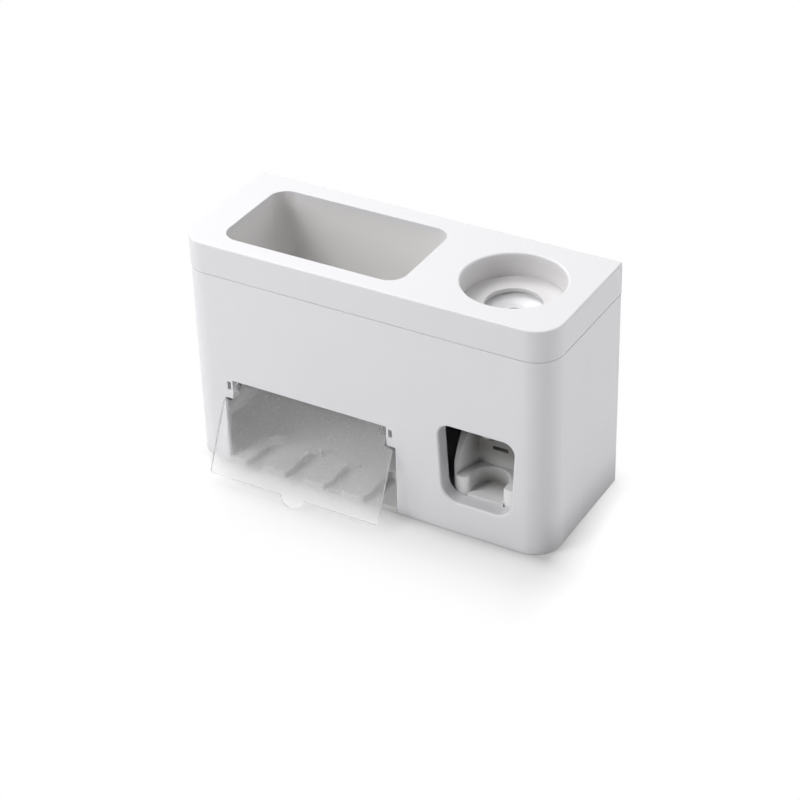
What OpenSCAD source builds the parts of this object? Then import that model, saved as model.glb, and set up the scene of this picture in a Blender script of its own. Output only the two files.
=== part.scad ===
// Bathroom unit with a deep storage tray, a cup well, a covered bay for hanging
// brushes and a lever pump that draws paste from a tube standing in the cup well.
// The front faces -Y, the base rests on Z = 0 and the origin is the middle of the base.

/* [Case] */
// Width of the unit, measured over the tray
tray_w = 264.4; // [240:1:300]
// Depth of the unit, measured over the tray
tray_d = 99.4; // [96:1:120]
// Height of the whole unit
total_h = 164.4; // [158:0.1:190]
// Height of the tray's outer band
tray_h = 21.7; // [20:0.1:26]
// How far the tray stands proud of the case on each side
tray_proud = 0.2; // [0.1:0.1:0.8]
// Radius of the two upright corners at the front
front_r = 18.8; // [10:0.1:22]
// Radius of the two upright corners at the back
back_r = 1.4; // [1:0.1:8]
// Radius of the tray's top edge
edge_r = 1.1; // [0.6:0.1:2]
// Wall of the case and the tray
wall = 2.5; // [2:0.1:3]
// Distance from the middle of the case back to the joint between its two shells
split_y = 0.6; // [-4:0.1:6]
// Height of the shadow groove under the tray
shadow_h = 0.7; // [0.3:0.1:1.2]

/* [Storage well] */
// Inside width of the storage well
well_w = 130; // [100:1:132]
// Inside depth of the storage well, front to back
well_d = 72; // [50:1:74]
// Inside height of the storage well
well_h = 86.4; // [50:0.1:88]
// Radius of the storage well's upright corners
well_r = 12; // [6:0.5:20]
// Wall of both wells
well_wall = 2.2; // [1.6:0.1:3]
// Middle of the storage well, left of the middle of the unit
well_left = 43.7; // [40:0.1:46]

/* [Cup well] */
// Inside radius of the cup well
cup_r = 33; // [28:0.5:34]
// Depth of the cup well
cup_h = 16.4; // [12:0.1:18]
// Radius of the hole that lets the paste tube through
cup_hole_r = 18.3; // [14:0.1:21]
// Middle of the cup well and the pump, right of the middle of the unit
pump_x = 82.3; // [80:0.1:84]

/* [Brush bay] */
// Width of the bay's opening in the front
bay_w = 128.5; // [110:0.5:130]
// Height of the bay's opening
bay_h = 65.7; // [62:0.1:72]
// Middle of the bay, left of the middle of the unit
bay_left = 40.35; // [39:0.05:42]
// Width of the hinge lug in each upper corner of the opening
lug_w = 6.5; // [5:0.1:9]
// Height of the hinge lug
lug_h = 14.2; // [10:0.1:16]
// Thickness of the divider between the bay and the pump
divider_t = 2.2; // [1.6:0.1:3]
// Middle of the divider, right of the middle of the unit
divider_x = 31.5; // [31:0.1:32.5]
// Thickness of the comb plate that the brushes hang in
comb_t = 4.5; // [3.6:0.1:5.5]
// Distance between neighbouring brush slots
slot_pitch = 29.8; // [24:0.1:31]
// Width of a brush slot
slot_w = 8.5; // [6:0.1:10]
// Length of a brush slot from the front face to its round end
slot_l = 30.9; // [24:0.1:40]
// Width of a slot's flared mouth
mouth_w = 13; // [10:0.1:16]
// Length of a slot's flared mouth
mouth_l = 6; // [3:0.1:9]
// Height of the rim round a slot's end
rim_h = 3; // [1.5:0.1:4]
// Thickness of the rim round a slot's end
rim_t = 1.6; // [1.2:0.1:2.4]

/* [Dust flap] */
// Thickness of the clear flap
flap_t = 2; // [1.4:0.1:2.6]
// Height of the hinge axis
hinge_z = 61; // [60:0.1:61.4]
// Distance of the hinge axis behind the front of the case
hinge_back = 3.3; // [3:0.1:4]
// Angle of the open flap from upright, with its finger tab on the floor
flap_rest = 26; // [20:0.5:32]
// Radius of the round finger tab
finger_r = 8.8; // [8:0.1:12]
// Radius of the ear bosses that carry the hinge pins
ear_r = 3.6; // [3:0.1:4]
// Radius of the flap's hinge pins
hinge_pin_r = 1.4; // [1:0.1:1.8]
// Length of each hinge pin
hinge_pin_l = 4; // [3:0.1:5]

/* [Window and lever] */
// Half width of the window at its top
window_top_half = 26.5; // [25:0.1:27]
// Half width of the window at its bottom
window_low_half = 24.6; // [22:0.1:25.5]
// Height of the window's bottom edge
window_low = 23.2; // [22.6:0.1:25]
// Height of the window's top edge
window_top = 79.4; // [78:0.1:82]
// Radius of the window's upper corners
window_top_r = 8; // [6:0.1:10]
// Radius of the window's lower corners
window_low_r = 12; // [9:0.1:14]
// How far the window sits left of the pump's middle
window_left = 0.9; // [0:0.1:2]
// Depth of the collar round the window, from the front face
collar_depth = 10; // [8:0.1:10.4]
// Wall of the collar
collar_t = 1.8; // [1.4:0.1:2.4]
// Half width of the lever across its cheeks
lever_half = 23; // [22:0.1:24]
// Thickness of a lever cheek
cheek_t = 2.7; // [2.2:0.1:3.2]
// Height of the shelf that the brush head is pushed against
shelf_z = 36.3; // [34:0.1:39]
// Height of the recessed floor between the lever's noses
recess_z = 25; // [24.6:0.1:27]
// Thickness of that floor and of the lever's back wall
lever_t = 2.5; // [2:0.1:3]
// Radius of the round recess for the brush head
recess_r = 12.1; // [10:0.1:13]
// Distance of the recess's middle behind the front face
recess_back = 18; // [16:0.1:20]
// Distance of the lever's back wall behind the front face
lever_back = 31.7; // [31:0.1:32.4]
// Top of the lever's back wall
lever_wall_top = 56; // [55:0.1:58]
// Distance of the lever's axle behind the front face
axle_back = 39; // [38.6:0.1:39.4]
// Height of the lever's axle
axle_z = 86; // [85.6:0.1:88]
// Radius of the steel axle
axle_r = 2; // [1.5:0.1:2.2]

/* [Pump] */
// Height of the plunger's axis
plunger_z = 51.7; // [51:0.1:53]
// Radius of the pump cylinder's bore
barrel_r = 9.5; // [8:0.1:10]
// Wall of the pump's tubes
tube_wall = 2.5; // [2:0.1:3]
// Length of the pump cylinder's bore
barrel_l = 23; // [22:0.1:24]
// Distance of the pump cylinder's front end behind the front face
barrel_back = 51.2; // [50.8:0.1:52]
// Radius of the plunger's rod
rod_r = 4; // [3:0.1:4.5]
// Radius of the round nose that the lever pushes on
nose_r = 10; // [9.5:0.1:11]
// Height of the delivery channel's axis
channel_z = 76; // [75.6:0.1:76.4]
// Radius of the delivery channel's bore
channel_r = 3.5; // [3:0.1:3.8]
// Radius of the tube neck's seat in the silicone ring
neck_r = 6.6; // [6:0.1:7.5]
// Depth of the silicone ring's top below the cup well's floor
neck_drop = 7.4; // [7:0.1:9]
// Wire radius of the return spring
wire_r = 0.45; // [0.35:0.05:0.5]
// Turns of the return spring
spring_turns = 4; // [3:0.5:4.5]

/* [Wall hanging] */
// Distance between the two keyholes
keyhole_pitch = 180; // [160:1:190]
// Height of the keyholes' round entries
keyhole_z = 120; // [114:1:124]
// Radius of a keyhole's round entry
keyhole_r = 5; // [4:0.1:6]
// Half width of a keyhole's slot
keyhole_slot_r = 2.3; // [1.8:0.1:2.6]
// Rise of a keyhole's slot above its entry
keyhole_rise = 9; // [7:0.5:11]

/* [Hidden] */
$fn = 64;

// Overrun of every cut and running, seating and sliding clearances
over = 1;
slack = 0.3;
run_fit = 0.05;

// Colours
shell_white = [0.94, 0.94, 0.93];
lever_white = [0.88, 0.88, 0.87];
clear_tint = [0.86, 0.88, 0.89, 0.45];
silicone_grey = [0.72, 0.73, 0.74];
pump_white = [0.84, 0.85, 0.85];
steel = [0.66, 0.67, 0.69];

// Case sizes that follow from the driving sizes
case_w = tray_w - 2 * tray_proud;
case_d = tray_d - 2 * tray_proud;
case_top = total_h - tray_h;
front_y = -case_d / 2;
back_y = case_d / 2;
inner_x = case_w / 2 - wall;
inner_front = front_y + wall;
inner_back = back_y - wall;
shadow_share = 0.4;
least_r = 0.5;

// Tray rim that drops into the case
rim_drop = 4;
rim_wall = 1.5;
divider_top = case_top - rim_drop - 2 * slack;
well_y = -0.5;
well_x = -well_left;
well_floor_t = 2.2;
rim_chamfer = 1.2;
cup_fillet = 1.5;
cup_floor_t = 2.5;
tray_plate_t = 2.6;

// Bay
bay_x = -bay_left;
bay_lo = bay_x - bay_w / 2;
bay_hi = bay_x + bay_w / 2;
lug_d = 6.5;
slot_count = 4;
slot_end_y = front_y + slot_l;
slot_mid_y = slot_end_y - slot_w / 2;

// Flap
hinge_y = front_y + hinge_back;
flap_gap = 0.8;
flap_reach = hinge_z / cos(flap_rest);
flap_shoulder = 12.8;
flap_lower = hinge_z;
flap_corner_r = 1.5;
socket_depth = hinge_pin_l + slack;
pin_window_in = 1.5;
pin_window_w = 2.7;
pin_window_h = 6;

// Screws: shank, head and the places that take them
screw_r = 1.5;
screw_hole_r = 1.75;
pilot_r = 1.55;
head_r = 3;
head_h = 1.8;
head_gap = 0.3;
counterbore_r = head_r + head_gap;
boss_r = 4.5;
small_screw_r = 1;
small_head_r = 2;
small_head_h = 1.2;
small_pilot_r = 1.05;

// Shell screws run from the back wall into long posts of the front shell
post_inset = 9.5;
post_x = inner_x - post_inset;
post_low_z = 24;
post_drop = 24.7;
post_high_z = case_top - post_drop;
post_heights = [post_low_z, post_high_z];
tongue_l = 4;
shell_seat_d = 4.2;
shell_boss_d = 6;
shell_boss_r = 6;
post_end_y = inner_back - shell_boss_d;
shell_screw_l = 19;
shell_pilot_l = 17;

// Base screws
base_boss_h = 12;
base_seat = 2.2;
base_screw_l = 9;
base_pilot_l = 9.5;
cover_t = 2.5;
base_rear_y = inner_back - boss_r - slack;
base_front_y = -inner_back / 2;
boss_to_wall = boss_r + slack;
// Each place is X, Y and the side of the wall that its boss is ribbed to
comb_screw_places = [
  [-inner_x + boss_to_wall, base_front_y, -1],
  [-inner_x + boss_to_wall, base_rear_y, -1],
  [divider_x - divider_t / 2 - boss_to_wall, -2 * boss_r, 1],
  [divider_x - divider_t / 2 - boss_to_wall, base_rear_y, 1]
];
cover_screw_places = [
  [divider_x + divider_t / 2 + boss_to_wall, base_front_y, -1],
  [divider_x + divider_t / 2 + boss_to_wall, base_rear_y, -1],
  [inner_x - boss_to_wall, base_front_y, 1],
  [inner_x - boss_to_wall, base_rear_y, 1]
];

// Window and lever
window_x = pump_x - window_left;
collar_end_y = front_y + collar_depth;
lever_front_y = collar_end_y + slack;
lever_wall_y = front_y + lever_back;
lever_rear_y = lever_wall_y + lever_t;
recess_y = front_y + recess_back;
axle_y = front_y + axle_back;
nose_w = 8.3;
nose_bite = 0.3;
nose_r2 = 2.6;
nose_step = cheek_t - nose_bite;
cheek_arc_r = 54;
cheek_bulge = 0.3;
cheek_arc_y = lever_front_y + cheek_arc_r - cheek_bulge;
cheek_arc_up = 2.5;
cheek_arc_z = recess_z + cheek_arc_up;
cheek_rise = 9;
cheek_top_z = lever_wall_top + cheek_rise;
cheek_taper = 5;
cheek_in_front = lever_half - cheek_t;
cheek_in_back = cheek_in_front - cheek_taper;
arm_overlap = 2;
arm_low_z = cheek_top_z - arm_overlap;
arm_depth = 7.1;
arm_front_y = lever_wall_y - arm_depth;
arm_rear_share = 0.8;
lever_boss_r = 6.5;
slot_half = 5.4;
slot_half_h = 1.4;
slot_drop = 2.2;
slot_mid_z = plunger_z - slot_drop;
wall_corner_r = 3;
bush_r = 3.4;
bush_flange_r = 4.6;
bush_flange_t = 0.4;
axle_gap = 0.5;

// Bracket that carries the axle and the pump
bracket_t = 2.5;
bracket_half = lever_half + axle_gap + bracket_t;
bracket_plate_t = 3;
flange_t = 2.5;
barrel_y = front_y + barrel_back;
flange_y = barrel_y + barrel_l + flange_t;
bracket_y = flange_y + flange_t;
bracket_drop = 21.7;
bracket_low_z = plunger_z - bracket_drop;
bracket_rise = 20;
bracket_high_z = axle_z + bracket_rise;
bracket_ear_r = 7;
bracket_ear_h = 46;
bracket_foot_z = bracket_high_z - bracket_ear_h;
bracket_screw_half = 20;
bracket_screw_inset = 6;
bracket_screw_heights = [bracket_low_z + bracket_screw_inset, bracket_high_z - bracket_screw_inset];
bracket_screw_l = 12;
bracket_pilot_l = 12.5;
clip_t = 0.8;
clip_r = 4;
clip_groove_gap = 0.2;
groove_cut = 0.5;
axle_groove_r = axle_r - groove_cut;
clip_bite = 0.6;
clip_mouth = 2 * axle_groove_r - clip_bite;

// Pump body
neck_z = total_h - cup_h - neck_drop;
ring_h = 13;
ring_floor_z = neck_z - ring_h;
ring_floor_t = 2;
column_bore_r = 4;
column_r = 8;
column_top_z = ring_floor_z - ring_floor_t;
valve_seat_r = 6;
valve_seat_h = 1.8;
channel_wall = 2.4;
channel_out_r = channel_r + channel_wall;
drop_back = 19.5;
drop_y = barrel_y + drop_back;
drop_r = 3;
barrel_out_r = barrel_r + tube_wall;
spout_y = recess_y;
spout_r = 6;
spout_bore_r = 4.2;
spout_drop = 6;
spout_low_z = channel_z - spout_drop;
flange_half = 15.5;
flange_drop = 15.7;
flange_low_z = plunger_z - flange_drop;
flange_rise = 18;
flange_high_z = channel_z + flange_rise;
gusset_t = 2.4;
gusset_rise_share = 0.8;
pump_screw_half = 12.5;
pump_screw_inset = 4;
pump_screw_heights = [flange_low_z + pump_screw_inset, flange_high_z - pump_screw_inset];
pump_screw_l = 5.2;

// Inlet cup and the silicone ring
cup_seat_r = column_r + run_fit;
sleeve_wall = 2.5;
sleeve_l = 12;
sleeve_low_z = column_top_z - sleeve_l;
ring_r = 9.5;
dish_r = 22;
dish_rise = 4;
dish_t = 2;
dish_lip = 2.4;

// Valves and nozzle
bill_r = 3.6;
bill_l = 10;
bill_tip_r = 1.2;
bill_slit_r = 0.4;
bill_wall = 1;
outlet_seat = 3;
outlet_z = spout_low_z + outlet_seat;
outlet_disc_h = 1.2;
outlet_bill_r = 2.2;
outlet_bill_l = 2.6;
nozzle_r = 4.15;
nozzle_bore_r = 2.7;
nozzle_l = 3.2;
nozzle_tip_z = spout_low_z - nozzle_l;
nozzle_tip_r = 3.2;
nozzle_collar_r = 6;
nozzle_collar_t = 1.4;
plug_l = 4;

// Plunger
head_gap_y = slack;
plunger_y = lever_rear_y + head_gap_y;
plunger_head_r = 6;
plunger_head_t = 3;
piston_gap = 0.2;
piston_r = barrel_r - piston_gap;
piston_in = 4;
piston_y = barrel_y + piston_in;
piston_t = 5;
groove_r = 7.5;
groove_in = 1.4;
groove_y = piston_y + groove_in;
groove_t = 2.2;
seal_r = barrel_r - run_fit;
cap_t = 2;
cap_skirt_l = 6;
cap_skirt_t = 1.5;
cap_y = barrel_y - cap_t;
spring_r = 5.2;

// Outline of the case or tray in plan, with its own radii in front and behind
module outline(w, d, rf, rb) {
  translate([-w / 2 + rf, -d / 2]) square([w - 2 * rf, d - rb]);
  translate([-w / 2, -d / 2 + rf]) square([w, d - rf - rb]);
  translate([-w / 2 + rb, -d / 2 + rf]) square([w - 2 * rb, d - rf]);
  for (side = [-1, 1]) {
    translate([side * (w / 2 - rf), -d / 2 + rf]) circle(rf);
    translate([side * (w / 2 - rb), d / 2 - rb]) circle(rb);
  }
}

// Plan of the case, drawn in from its outer face
module case_plan(inset) {
  outline(
    case_w - 2 * inset,
    case_d - 2 * inset,
    front_r - tray_proud - inset,
    max(back_r - tray_proud - inset, least_r)
  );
}

// Rectangle with four equal round corners, centred
module round_rect(w, d, r) {
  outline(w, d, r, r);
}

// Extrusion of a side profile, drawn as Y across and Z up, between two X places
module side_extrude(x_low, x_high) {
  translate([x_low, 0, 0]) rotate([90, 0, 90]) linear_extrude(x_high - x_low) children();
}

// Extrusion of a front profile, drawn as X across and Z up, between two Y places
module front_extrude(y_low, y_high) {
  translate([0, y_high, 0]) rotate([90, 0, 0]) linear_extrude(y_high - y_low) children();
}

// Puts an upright shape along Y or along X at a place
module along_y(x, y, z) {
  translate([x, y, z]) rotate([-90, 0, 0]) children();
}
module along_x(x, y, z) {
  translate([x, y, z]) rotate([0, 90, 0]) children();
}

// Screw that stands on its tip at the origin's side of the head, head above
module screw(shank_l, r, r_head, h_head) {
  translate([0, 0, -shank_l]) cylinder(r = r, h = shank_l + h_head / 2);
  cylinder(r = r_head, h = h_head);
}

// Window outline in the front plane, grown outwards by a wall
module window_shape(grow) {
  hull() {
    for (side = [-1, 1]) {
      translate([window_x + side * (window_top_half - window_top_r), window_top - window_top_r])
        circle(window_top_r + grow, $fn = 32);
      translate([window_x + side * (window_low_half - window_low_r), window_low + window_low_r])
        circle(window_low_r + grow, $fn = 32);
    }
  }
}

// Opening of the brush bay in the front plane, stepped round the two hinge lugs
module bay_shape() {
  translate([bay_lo, -over]) square([bay_w, bay_h - lug_h + over]);
  translate([bay_lo + lug_w, -over]) square([bay_w - 2 * lug_w, bay_h + over]);
}

// Ring of case wall between two heights
module case_wall(z_low, z_high, inset_out) {
  translate([0, 0, z_low]) linear_extrude(z_high - z_low) difference() {
    case_plan(inset_out);
    case_plan(wall);
  }
}

// Wall with the shadow groove cut round its top outer edge
module grooved_wall() {
  case_wall(0, case_top - shadow_h, 0);
  case_wall(case_top - shadow_h - over, case_top, wall * shadow_share);
}

// Space in front of, or behind, the joint between the two shells
module front_half() {
  translate([-tray_w, -tray_d, -over]) cube([2 * tray_w, tray_d + split_y, total_h + 2 * over]);
}
module back_half() {
  translate([-tray_w, split_y, -over]) cube([2 * tray_w, tray_d, total_h + 2 * over]);
}

// Bosses and pilot holes for screws from below, those before or behind the joint
module base_bosses(places, in_front) {
  for (p = places) {
    if ((p[1] < split_y) == in_front) {
      translate([p[0], p[1], comb_t]) {
        cylinder(r = boss_r, h = base_boss_h);
        translate([min(0, p[2] * (boss_to_wall + divider_t / 2)), -rim_wall / 2, 0])
          cube([boss_to_wall + divider_t / 2, rim_wall, base_boss_h]);
      }
    }
  }
}
module base_pilots(places) {
  for (p = places) translate([p[0], p[1], comb_t - over]) cylinder(r = pilot_r, h = base_pilot_l + over);
}

module front_shell() {
  color(shell_white) difference() {
    union() {
      intersection() {
        grooved_wall();
        front_half();
      }
      // Divider rib
      translate([divider_x - divider_t / 2, inner_front - wall / 2, 0])
        cube([divider_t, split_y - slack - inner_front + wall / 2, divider_top]);
      // Collar round the window
      front_extrude(inner_front - wall / 2, collar_end_y) window_shape(collar_t);
      // Hinge lugs
      for (x = [bay_lo, bay_hi - lug_w]) {
        translate([x, inner_front - wall / 2, bay_h - lug_h]) cube([lug_w, lug_d - wall / 2, lug_h]);
      }
      // Posts for the shell screws, trimmed to the round corners
      intersection() {
        for (side = [-1, 1]) for (z = post_heights) {
          along_y(side * post_x, inner_front, z) cylinder(r = boss_r, h = post_end_y - inner_front);
        }
        linear_extrude(case_top) case_plan(wall / 2);
      }
      base_bosses(comb_screw_places, true);
      base_bosses(cover_screw_places, true);
    }
    front_extrude(front_y - over, collar_end_y + over) window_shape(0);
    front_extrude(front_y - over, inner_front + wall / 2) bay_shape();
    // Sockets for the flap's hinge pins
    along_x(bay_lo + lug_w - socket_depth, hinge_y, hinge_z)
      cylinder(r = hinge_pin_r + run_fit, h = socket_depth + over);
    along_x(bay_hi - lug_w - over, hinge_y, hinge_z)
      cylinder(r = hinge_pin_r + run_fit, h = socket_depth + over);
    // Windows in the lugs through which the hinge pins are pressed home
    for (x = [bay_lo + lug_w - pin_window_in - pin_window_w, bay_hi - lug_w + pin_window_in]) {
      translate([x, front_y - over, hinge_z - pin_window_h / 2])
        cube([pin_window_w, hinge_back + over, pin_window_h]);
    }
    for (side = [-1, 1]) for (z = post_heights) {
      along_y(side * post_x, post_end_y - shell_pilot_l, z) cylinder(r = pilot_r, h = shell_pilot_l + over);
    }
    base_pilots(comb_screw_places);
    base_pilots(cover_screw_places);
  }
}

module keyhole() {
  cylinder(r = keyhole_r, h = wall + 2 * over);
  translate([0, -keyhole_rise, 0]) cylinder(r = keyhole_slot_r, h = wall + 2 * over);
  translate([-keyhole_slot_r, -keyhole_rise, 0])
    cube([2 * keyhole_slot_r, keyhole_rise, wall + 2 * over]);
}

module back_shell() {
  color(shell_white) difference() {
    union() {
      intersection() {
        grooved_wall();
        back_half();
      }
      // Divider rib
      translate([divider_x - divider_t / 2, split_y, 0])
        cube([divider_t, inner_back + wall / 2 - split_y, divider_top]);
      // Tongues that line up the two shells inside the side walls
      for (side = [0, 1]) mirror([side, 0, 0]) {
        translate([inner_x - rim_wall, split_y, comb_t + rim_wall])
          cube([rim_wall + wall / 2, tongue_l, divider_top - comb_t - 2 * rim_wall]);
        translate([inner_x - rim_wall, split_y - tongue_l, comb_t + rim_wall])
          cube([rim_wall - slack, tongue_l + over, divider_top - comb_t - 2 * rim_wall]);
      }
      // Seats of the shell screws
      for (side = [-1, 1]) for (z = post_heights) {
        along_y(side * post_x, post_end_y, z) cylinder(r = shell_boss_r, h = shell_boss_d + wall / 2);
      }
      // Bosses for the pump bracket
      for (side = [-1, 1]) for (z = bracket_screw_heights) {
        along_y(pump_x + side * bracket_screw_half, bracket_y + bracket_plate_t, z)
          cylinder(r = boss_r, h = inner_back + wall / 2 - bracket_y - bracket_plate_t);
      }
      base_bosses(comb_screw_places, false);
      base_bosses(cover_screw_places, false);
    }
    for (side = [-1, 1]) for (z = post_heights) {
      along_y(side * post_x, post_end_y - over, z)
        cylinder(r = screw_hole_r, h = shell_boss_d + wall + 2 * over);
      along_y(side * post_x, back_y - shell_seat_d, z)
        cylinder(r = counterbore_r, h = shell_seat_d + over);
    }
    for (side = [-1, 1]) for (z = bracket_screw_heights) {
      along_y(pump_x + side * bracket_screw_half, bracket_y + bracket_plate_t - over, z)
        cylinder(r = pilot_r, h = bracket_pilot_l + over);
    }
    for (side = [-1, 1]) along_y(side * keyhole_pitch / 2, inner_back - over, keyhole_z) keyhole();
    base_pilots(comb_screw_places);
    base_pilots(cover_screw_places);
  }
}

// Corner post of the tray's outer band, with its top edge rounded
module tray_post(r) {
  rotate_extrude($fn = 32) {
    square([r, tray_h - edge_r]);
    square([r - edge_r, tray_h]);
    translate([r - edge_r, tray_h - edge_r]) intersection() {
      circle(edge_r, $fn = 32);
      square(2 * edge_r);
    }
  }
}

module top_tray() {
  well_top = total_h;
  well_low = well_top - well_h;
  color(shell_white) difference() {
    union() {
      difference() {
        translate([0, 0, case_top]) hull() for (side = [-1, 1]) {
          translate([side * (tray_w / 2 - front_r), -tray_d / 2 + front_r, 0]) tray_post(front_r);
          translate([side * (tray_w / 2 - back_r), tray_d / 2 - back_r, 0]) tray_post(back_r);
        }
        translate([0, 0, case_top - over]) linear_extrude(tray_h - tray_plate_t + over) case_plan(wall);
      }
      // Rim that drops inside the case
      translate([0, 0, case_top - rim_drop]) linear_extrude(rim_drop + tray_h - tray_plate_t) difference() {
        case_plan(wall + slack);
        case_plan(wall + slack + rim_wall);
      }
      // Web that ties the rim to the band
      translate([0, 0, case_top]) linear_extrude(tray_h - tray_plate_t) difference() {
        case_plan(wall / 2);
        case_plan(wall + slack + rim_wall / 2);
      }
      // Outside of the storage well
      translate([well_x, well_y, well_low - well_floor_t]) linear_extrude(well_h + well_floor_t - edge_r)
        round_rect(well_w + 2 * well_wall, well_d + 2 * well_wall, well_r + well_wall);
      // Outside of the cup well
      translate([pump_x, 0, total_h - cup_h - cup_floor_t])
        cylinder(r = cup_r + well_wall, h = cup_h + cup_floor_t - edge_r);
    }
    // Inside of the storage well and its chamfered rim
    translate([well_x, well_y, well_low]) linear_extrude(well_h + over) round_rect(well_w, well_d, well_r);
    translate([well_x, well_y, total_h]) hull() {
      for (sx = [-1, 1]) for (sy = [-1, 1])
        translate([sx * (well_w / 2 - well_r), sy * (well_d / 2 - well_r), -rim_chamfer - over])
          cylinder(
            r1 = well_r - over,
            r2 = well_r + rim_chamfer + over,
            h = rim_chamfer + 2 * over,
            $fn = 32
          );
    }
    // Inside of the cup well with a rounded rim, and the hole for the tube
    translate([pump_x, 0, total_h - cup_h]) rotate_extrude() {
      difference() {
        square([cup_r + cup_fillet, cup_h + over]);
        translate([cup_r, -over]) square([2 * cup_fillet, cup_h - cup_fillet + over]);
        translate([cup_r + cup_fillet, cup_h - cup_fillet]) circle(cup_fillet);
      }
    }
    translate([pump_x, 0, total_h - cup_h - cup_floor_t - over])
      cylinder(r = cup_hole_r, h = cup_floor_t + 2 * over);
  }
}

// One brush slot in plan, open at the front, with a flared mouth
module slot_shape() {
  translate([0, slot_mid_y]) circle(slot_w / 2);
  translate([-slot_w / 2, front_y - over]) square([slot_w, slot_mid_y - front_y + over]);
  polygon([
    [-mouth_w / 2, front_y - over],
    [mouth_w / 2, front_y - over],
    [mouth_w / 2, front_y],
    [slot_w / 2, front_y + mouth_l],
    [-slot_w / 2, front_y + mouth_l],
    [-mouth_w / 2, front_y]
  ]);
}

function slot_x(i) = bay_x + (i - (slot_count - 1) / 2) * slot_pitch;

// Counterbore and shank hole of a screw from below
module base_screw_hole() {
  translate([0, 0, -over]) cylinder(r = counterbore_r, h = base_seat + over);
  translate([0, 0, -over]) cylinder(r = screw_hole_r, h = comb_t + 2 * over);
}

module brush_comb() {
  color(shell_white) difference() {
    union() {
      linear_extrude(comb_t) {
        intersection() {
          case_plan(wall + slack);
          translate([-tray_w, -tray_d]) square([tray_w + divider_x - divider_t / 2 - slack, 2 * tray_d]);
        }
        translate([bay_lo + slack, front_y]) square([bay_w - 2 * slack, wall + 2 * slack + rim_wall]);
      }
      // Raised rims round the slots' ends
      for (i = [0 : slot_count - 1]) translate([slot_x(i), slot_mid_y, 0]) difference() {
        cylinder(r = slot_w / 2 + rim_t, h = comb_t + rim_h);
        translate([-slot_w, -2 * slot_w, -over]) cube([2 * slot_w, 2 * slot_w, comb_t + rim_h + 2 * over]);
      }
    }
    for (i = [0 : slot_count - 1]) translate([slot_x(i), 0, -over])
      linear_extrude(comb_t + rim_h + 2 * over) slot_shape();
    for (p = comb_screw_places) translate([p[0], p[1], 0]) base_screw_hole();
  }
}

module base_cover() {
  color(shell_white) difference() {
    union() {
      linear_extrude(cover_t) difference() {
        case_plan(wall + slack);
        translate([-tray_w, -tray_d]) square([tray_w + divider_x + divider_t / 2 + slack, 2 * tray_d]);
      }
      intersection() {
        for (p = cover_screw_places) translate([p[0], p[1], 0]) cylinder(r = boss_r, h = comb_t);
        linear_extrude(comb_t) case_plan(wall + slack);
      }
    }
    for (p = cover_screw_places) translate([p[0], p[1], 0]) base_screw_hole();
  }
}

// Flap hanging straight down from the hinge axis at the origin, seen from the front
module flap_shape() {
  full = bay_w / 2 - flap_gap;
  narrow = bay_w / 2 - lug_w - flap_gap;
  translate([-narrow, -flap_shoulder - over]) square([2 * narrow, flap_shoulder + over]);
  translate([-full, -flap_lower + flap_corner_r])
    square([2 * full, flap_lower - flap_shoulder - flap_corner_r]);
  translate([-full + flap_corner_r, -flap_lower])
    square([2 * full - 2 * flap_corner_r, flap_lower - flap_shoulder]);
  for (side = [-1, 1])
    translate([side * (full - flap_corner_r), -flap_lower + flap_corner_r]) circle(flap_corner_r);
  translate([0, finger_r - flap_reach]) circle(finger_r);
}

module dust_flap() {
  narrow = bay_w / 2 - lug_w - flap_gap;
  ear_w = 4;
  color(clear_tint) translate([bay_x, hinge_y, hinge_z]) rotate([-flap_rest, 0, 0]) {
    front_extrude(-flap_t, 0) flap_shape();
    for (side = [0, 1]) mirror([side, 0, 0]) {
      along_x(narrow - ear_w, 0, 0) cylinder(r = ear_r, h = ear_w);
      along_x(narrow - ear_w / 2, 0, 0) cylinder(r = hinge_pin_r, h = ear_w / 2 + flap_gap + hinge_pin_l);
    }
  }
}

// Side of a lever cheek in front of a depth, with its curved front edge
module cheek_face(rear_y) {
  intersection() {
    translate([cheek_arc_y, cheek_arc_z]) circle(cheek_arc_r, $fn = 2 * $fn);
    translate([lever_front_y, recess_z - lever_t])
      square([rear_y - lever_front_y, cheek_top_z - recess_z + lever_t]);
  }
}

// Side profile of a whole cheek with its arm and axle boss
module cheek_profile() {
  cheek_face(lever_rear_y);
  polygon([
    [arm_front_y, arm_low_z],
    [lever_rear_y, arm_low_z],
    [axle_y + lever_boss_r * arm_rear_share, axle_z],
    [axle_y - lever_boss_r, axle_z]
  ]);
  translate([axle_y, axle_z]) circle(lever_boss_r);
}

// Plan of the shelf between the cheeks, with its two rounded noses
module shelf_plan() {
  difference() {
    union() {
      translate([-lever_half + nose_step, lever_front_y + nose_r2])
        square([2 * (lever_half - nose_step), lever_rear_y - lever_front_y - nose_r2]);
      for (side = [-1, 1])
        translate([side * (lever_half - nose_step - nose_w / 2), lever_front_y + nose_r2])
          scale([nose_w / 2 / nose_r2, 1]) circle(nose_r2);
      translate([-lever_half, recess_y]) square([2 * lever_half, lever_rear_y - recess_y]);
    }
    translate([0, recess_y]) circle(recess_r);
    translate([-recess_r, lever_front_y - over]) square([2 * recess_r, recess_y - lever_front_y + over]);
  }
}

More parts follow.
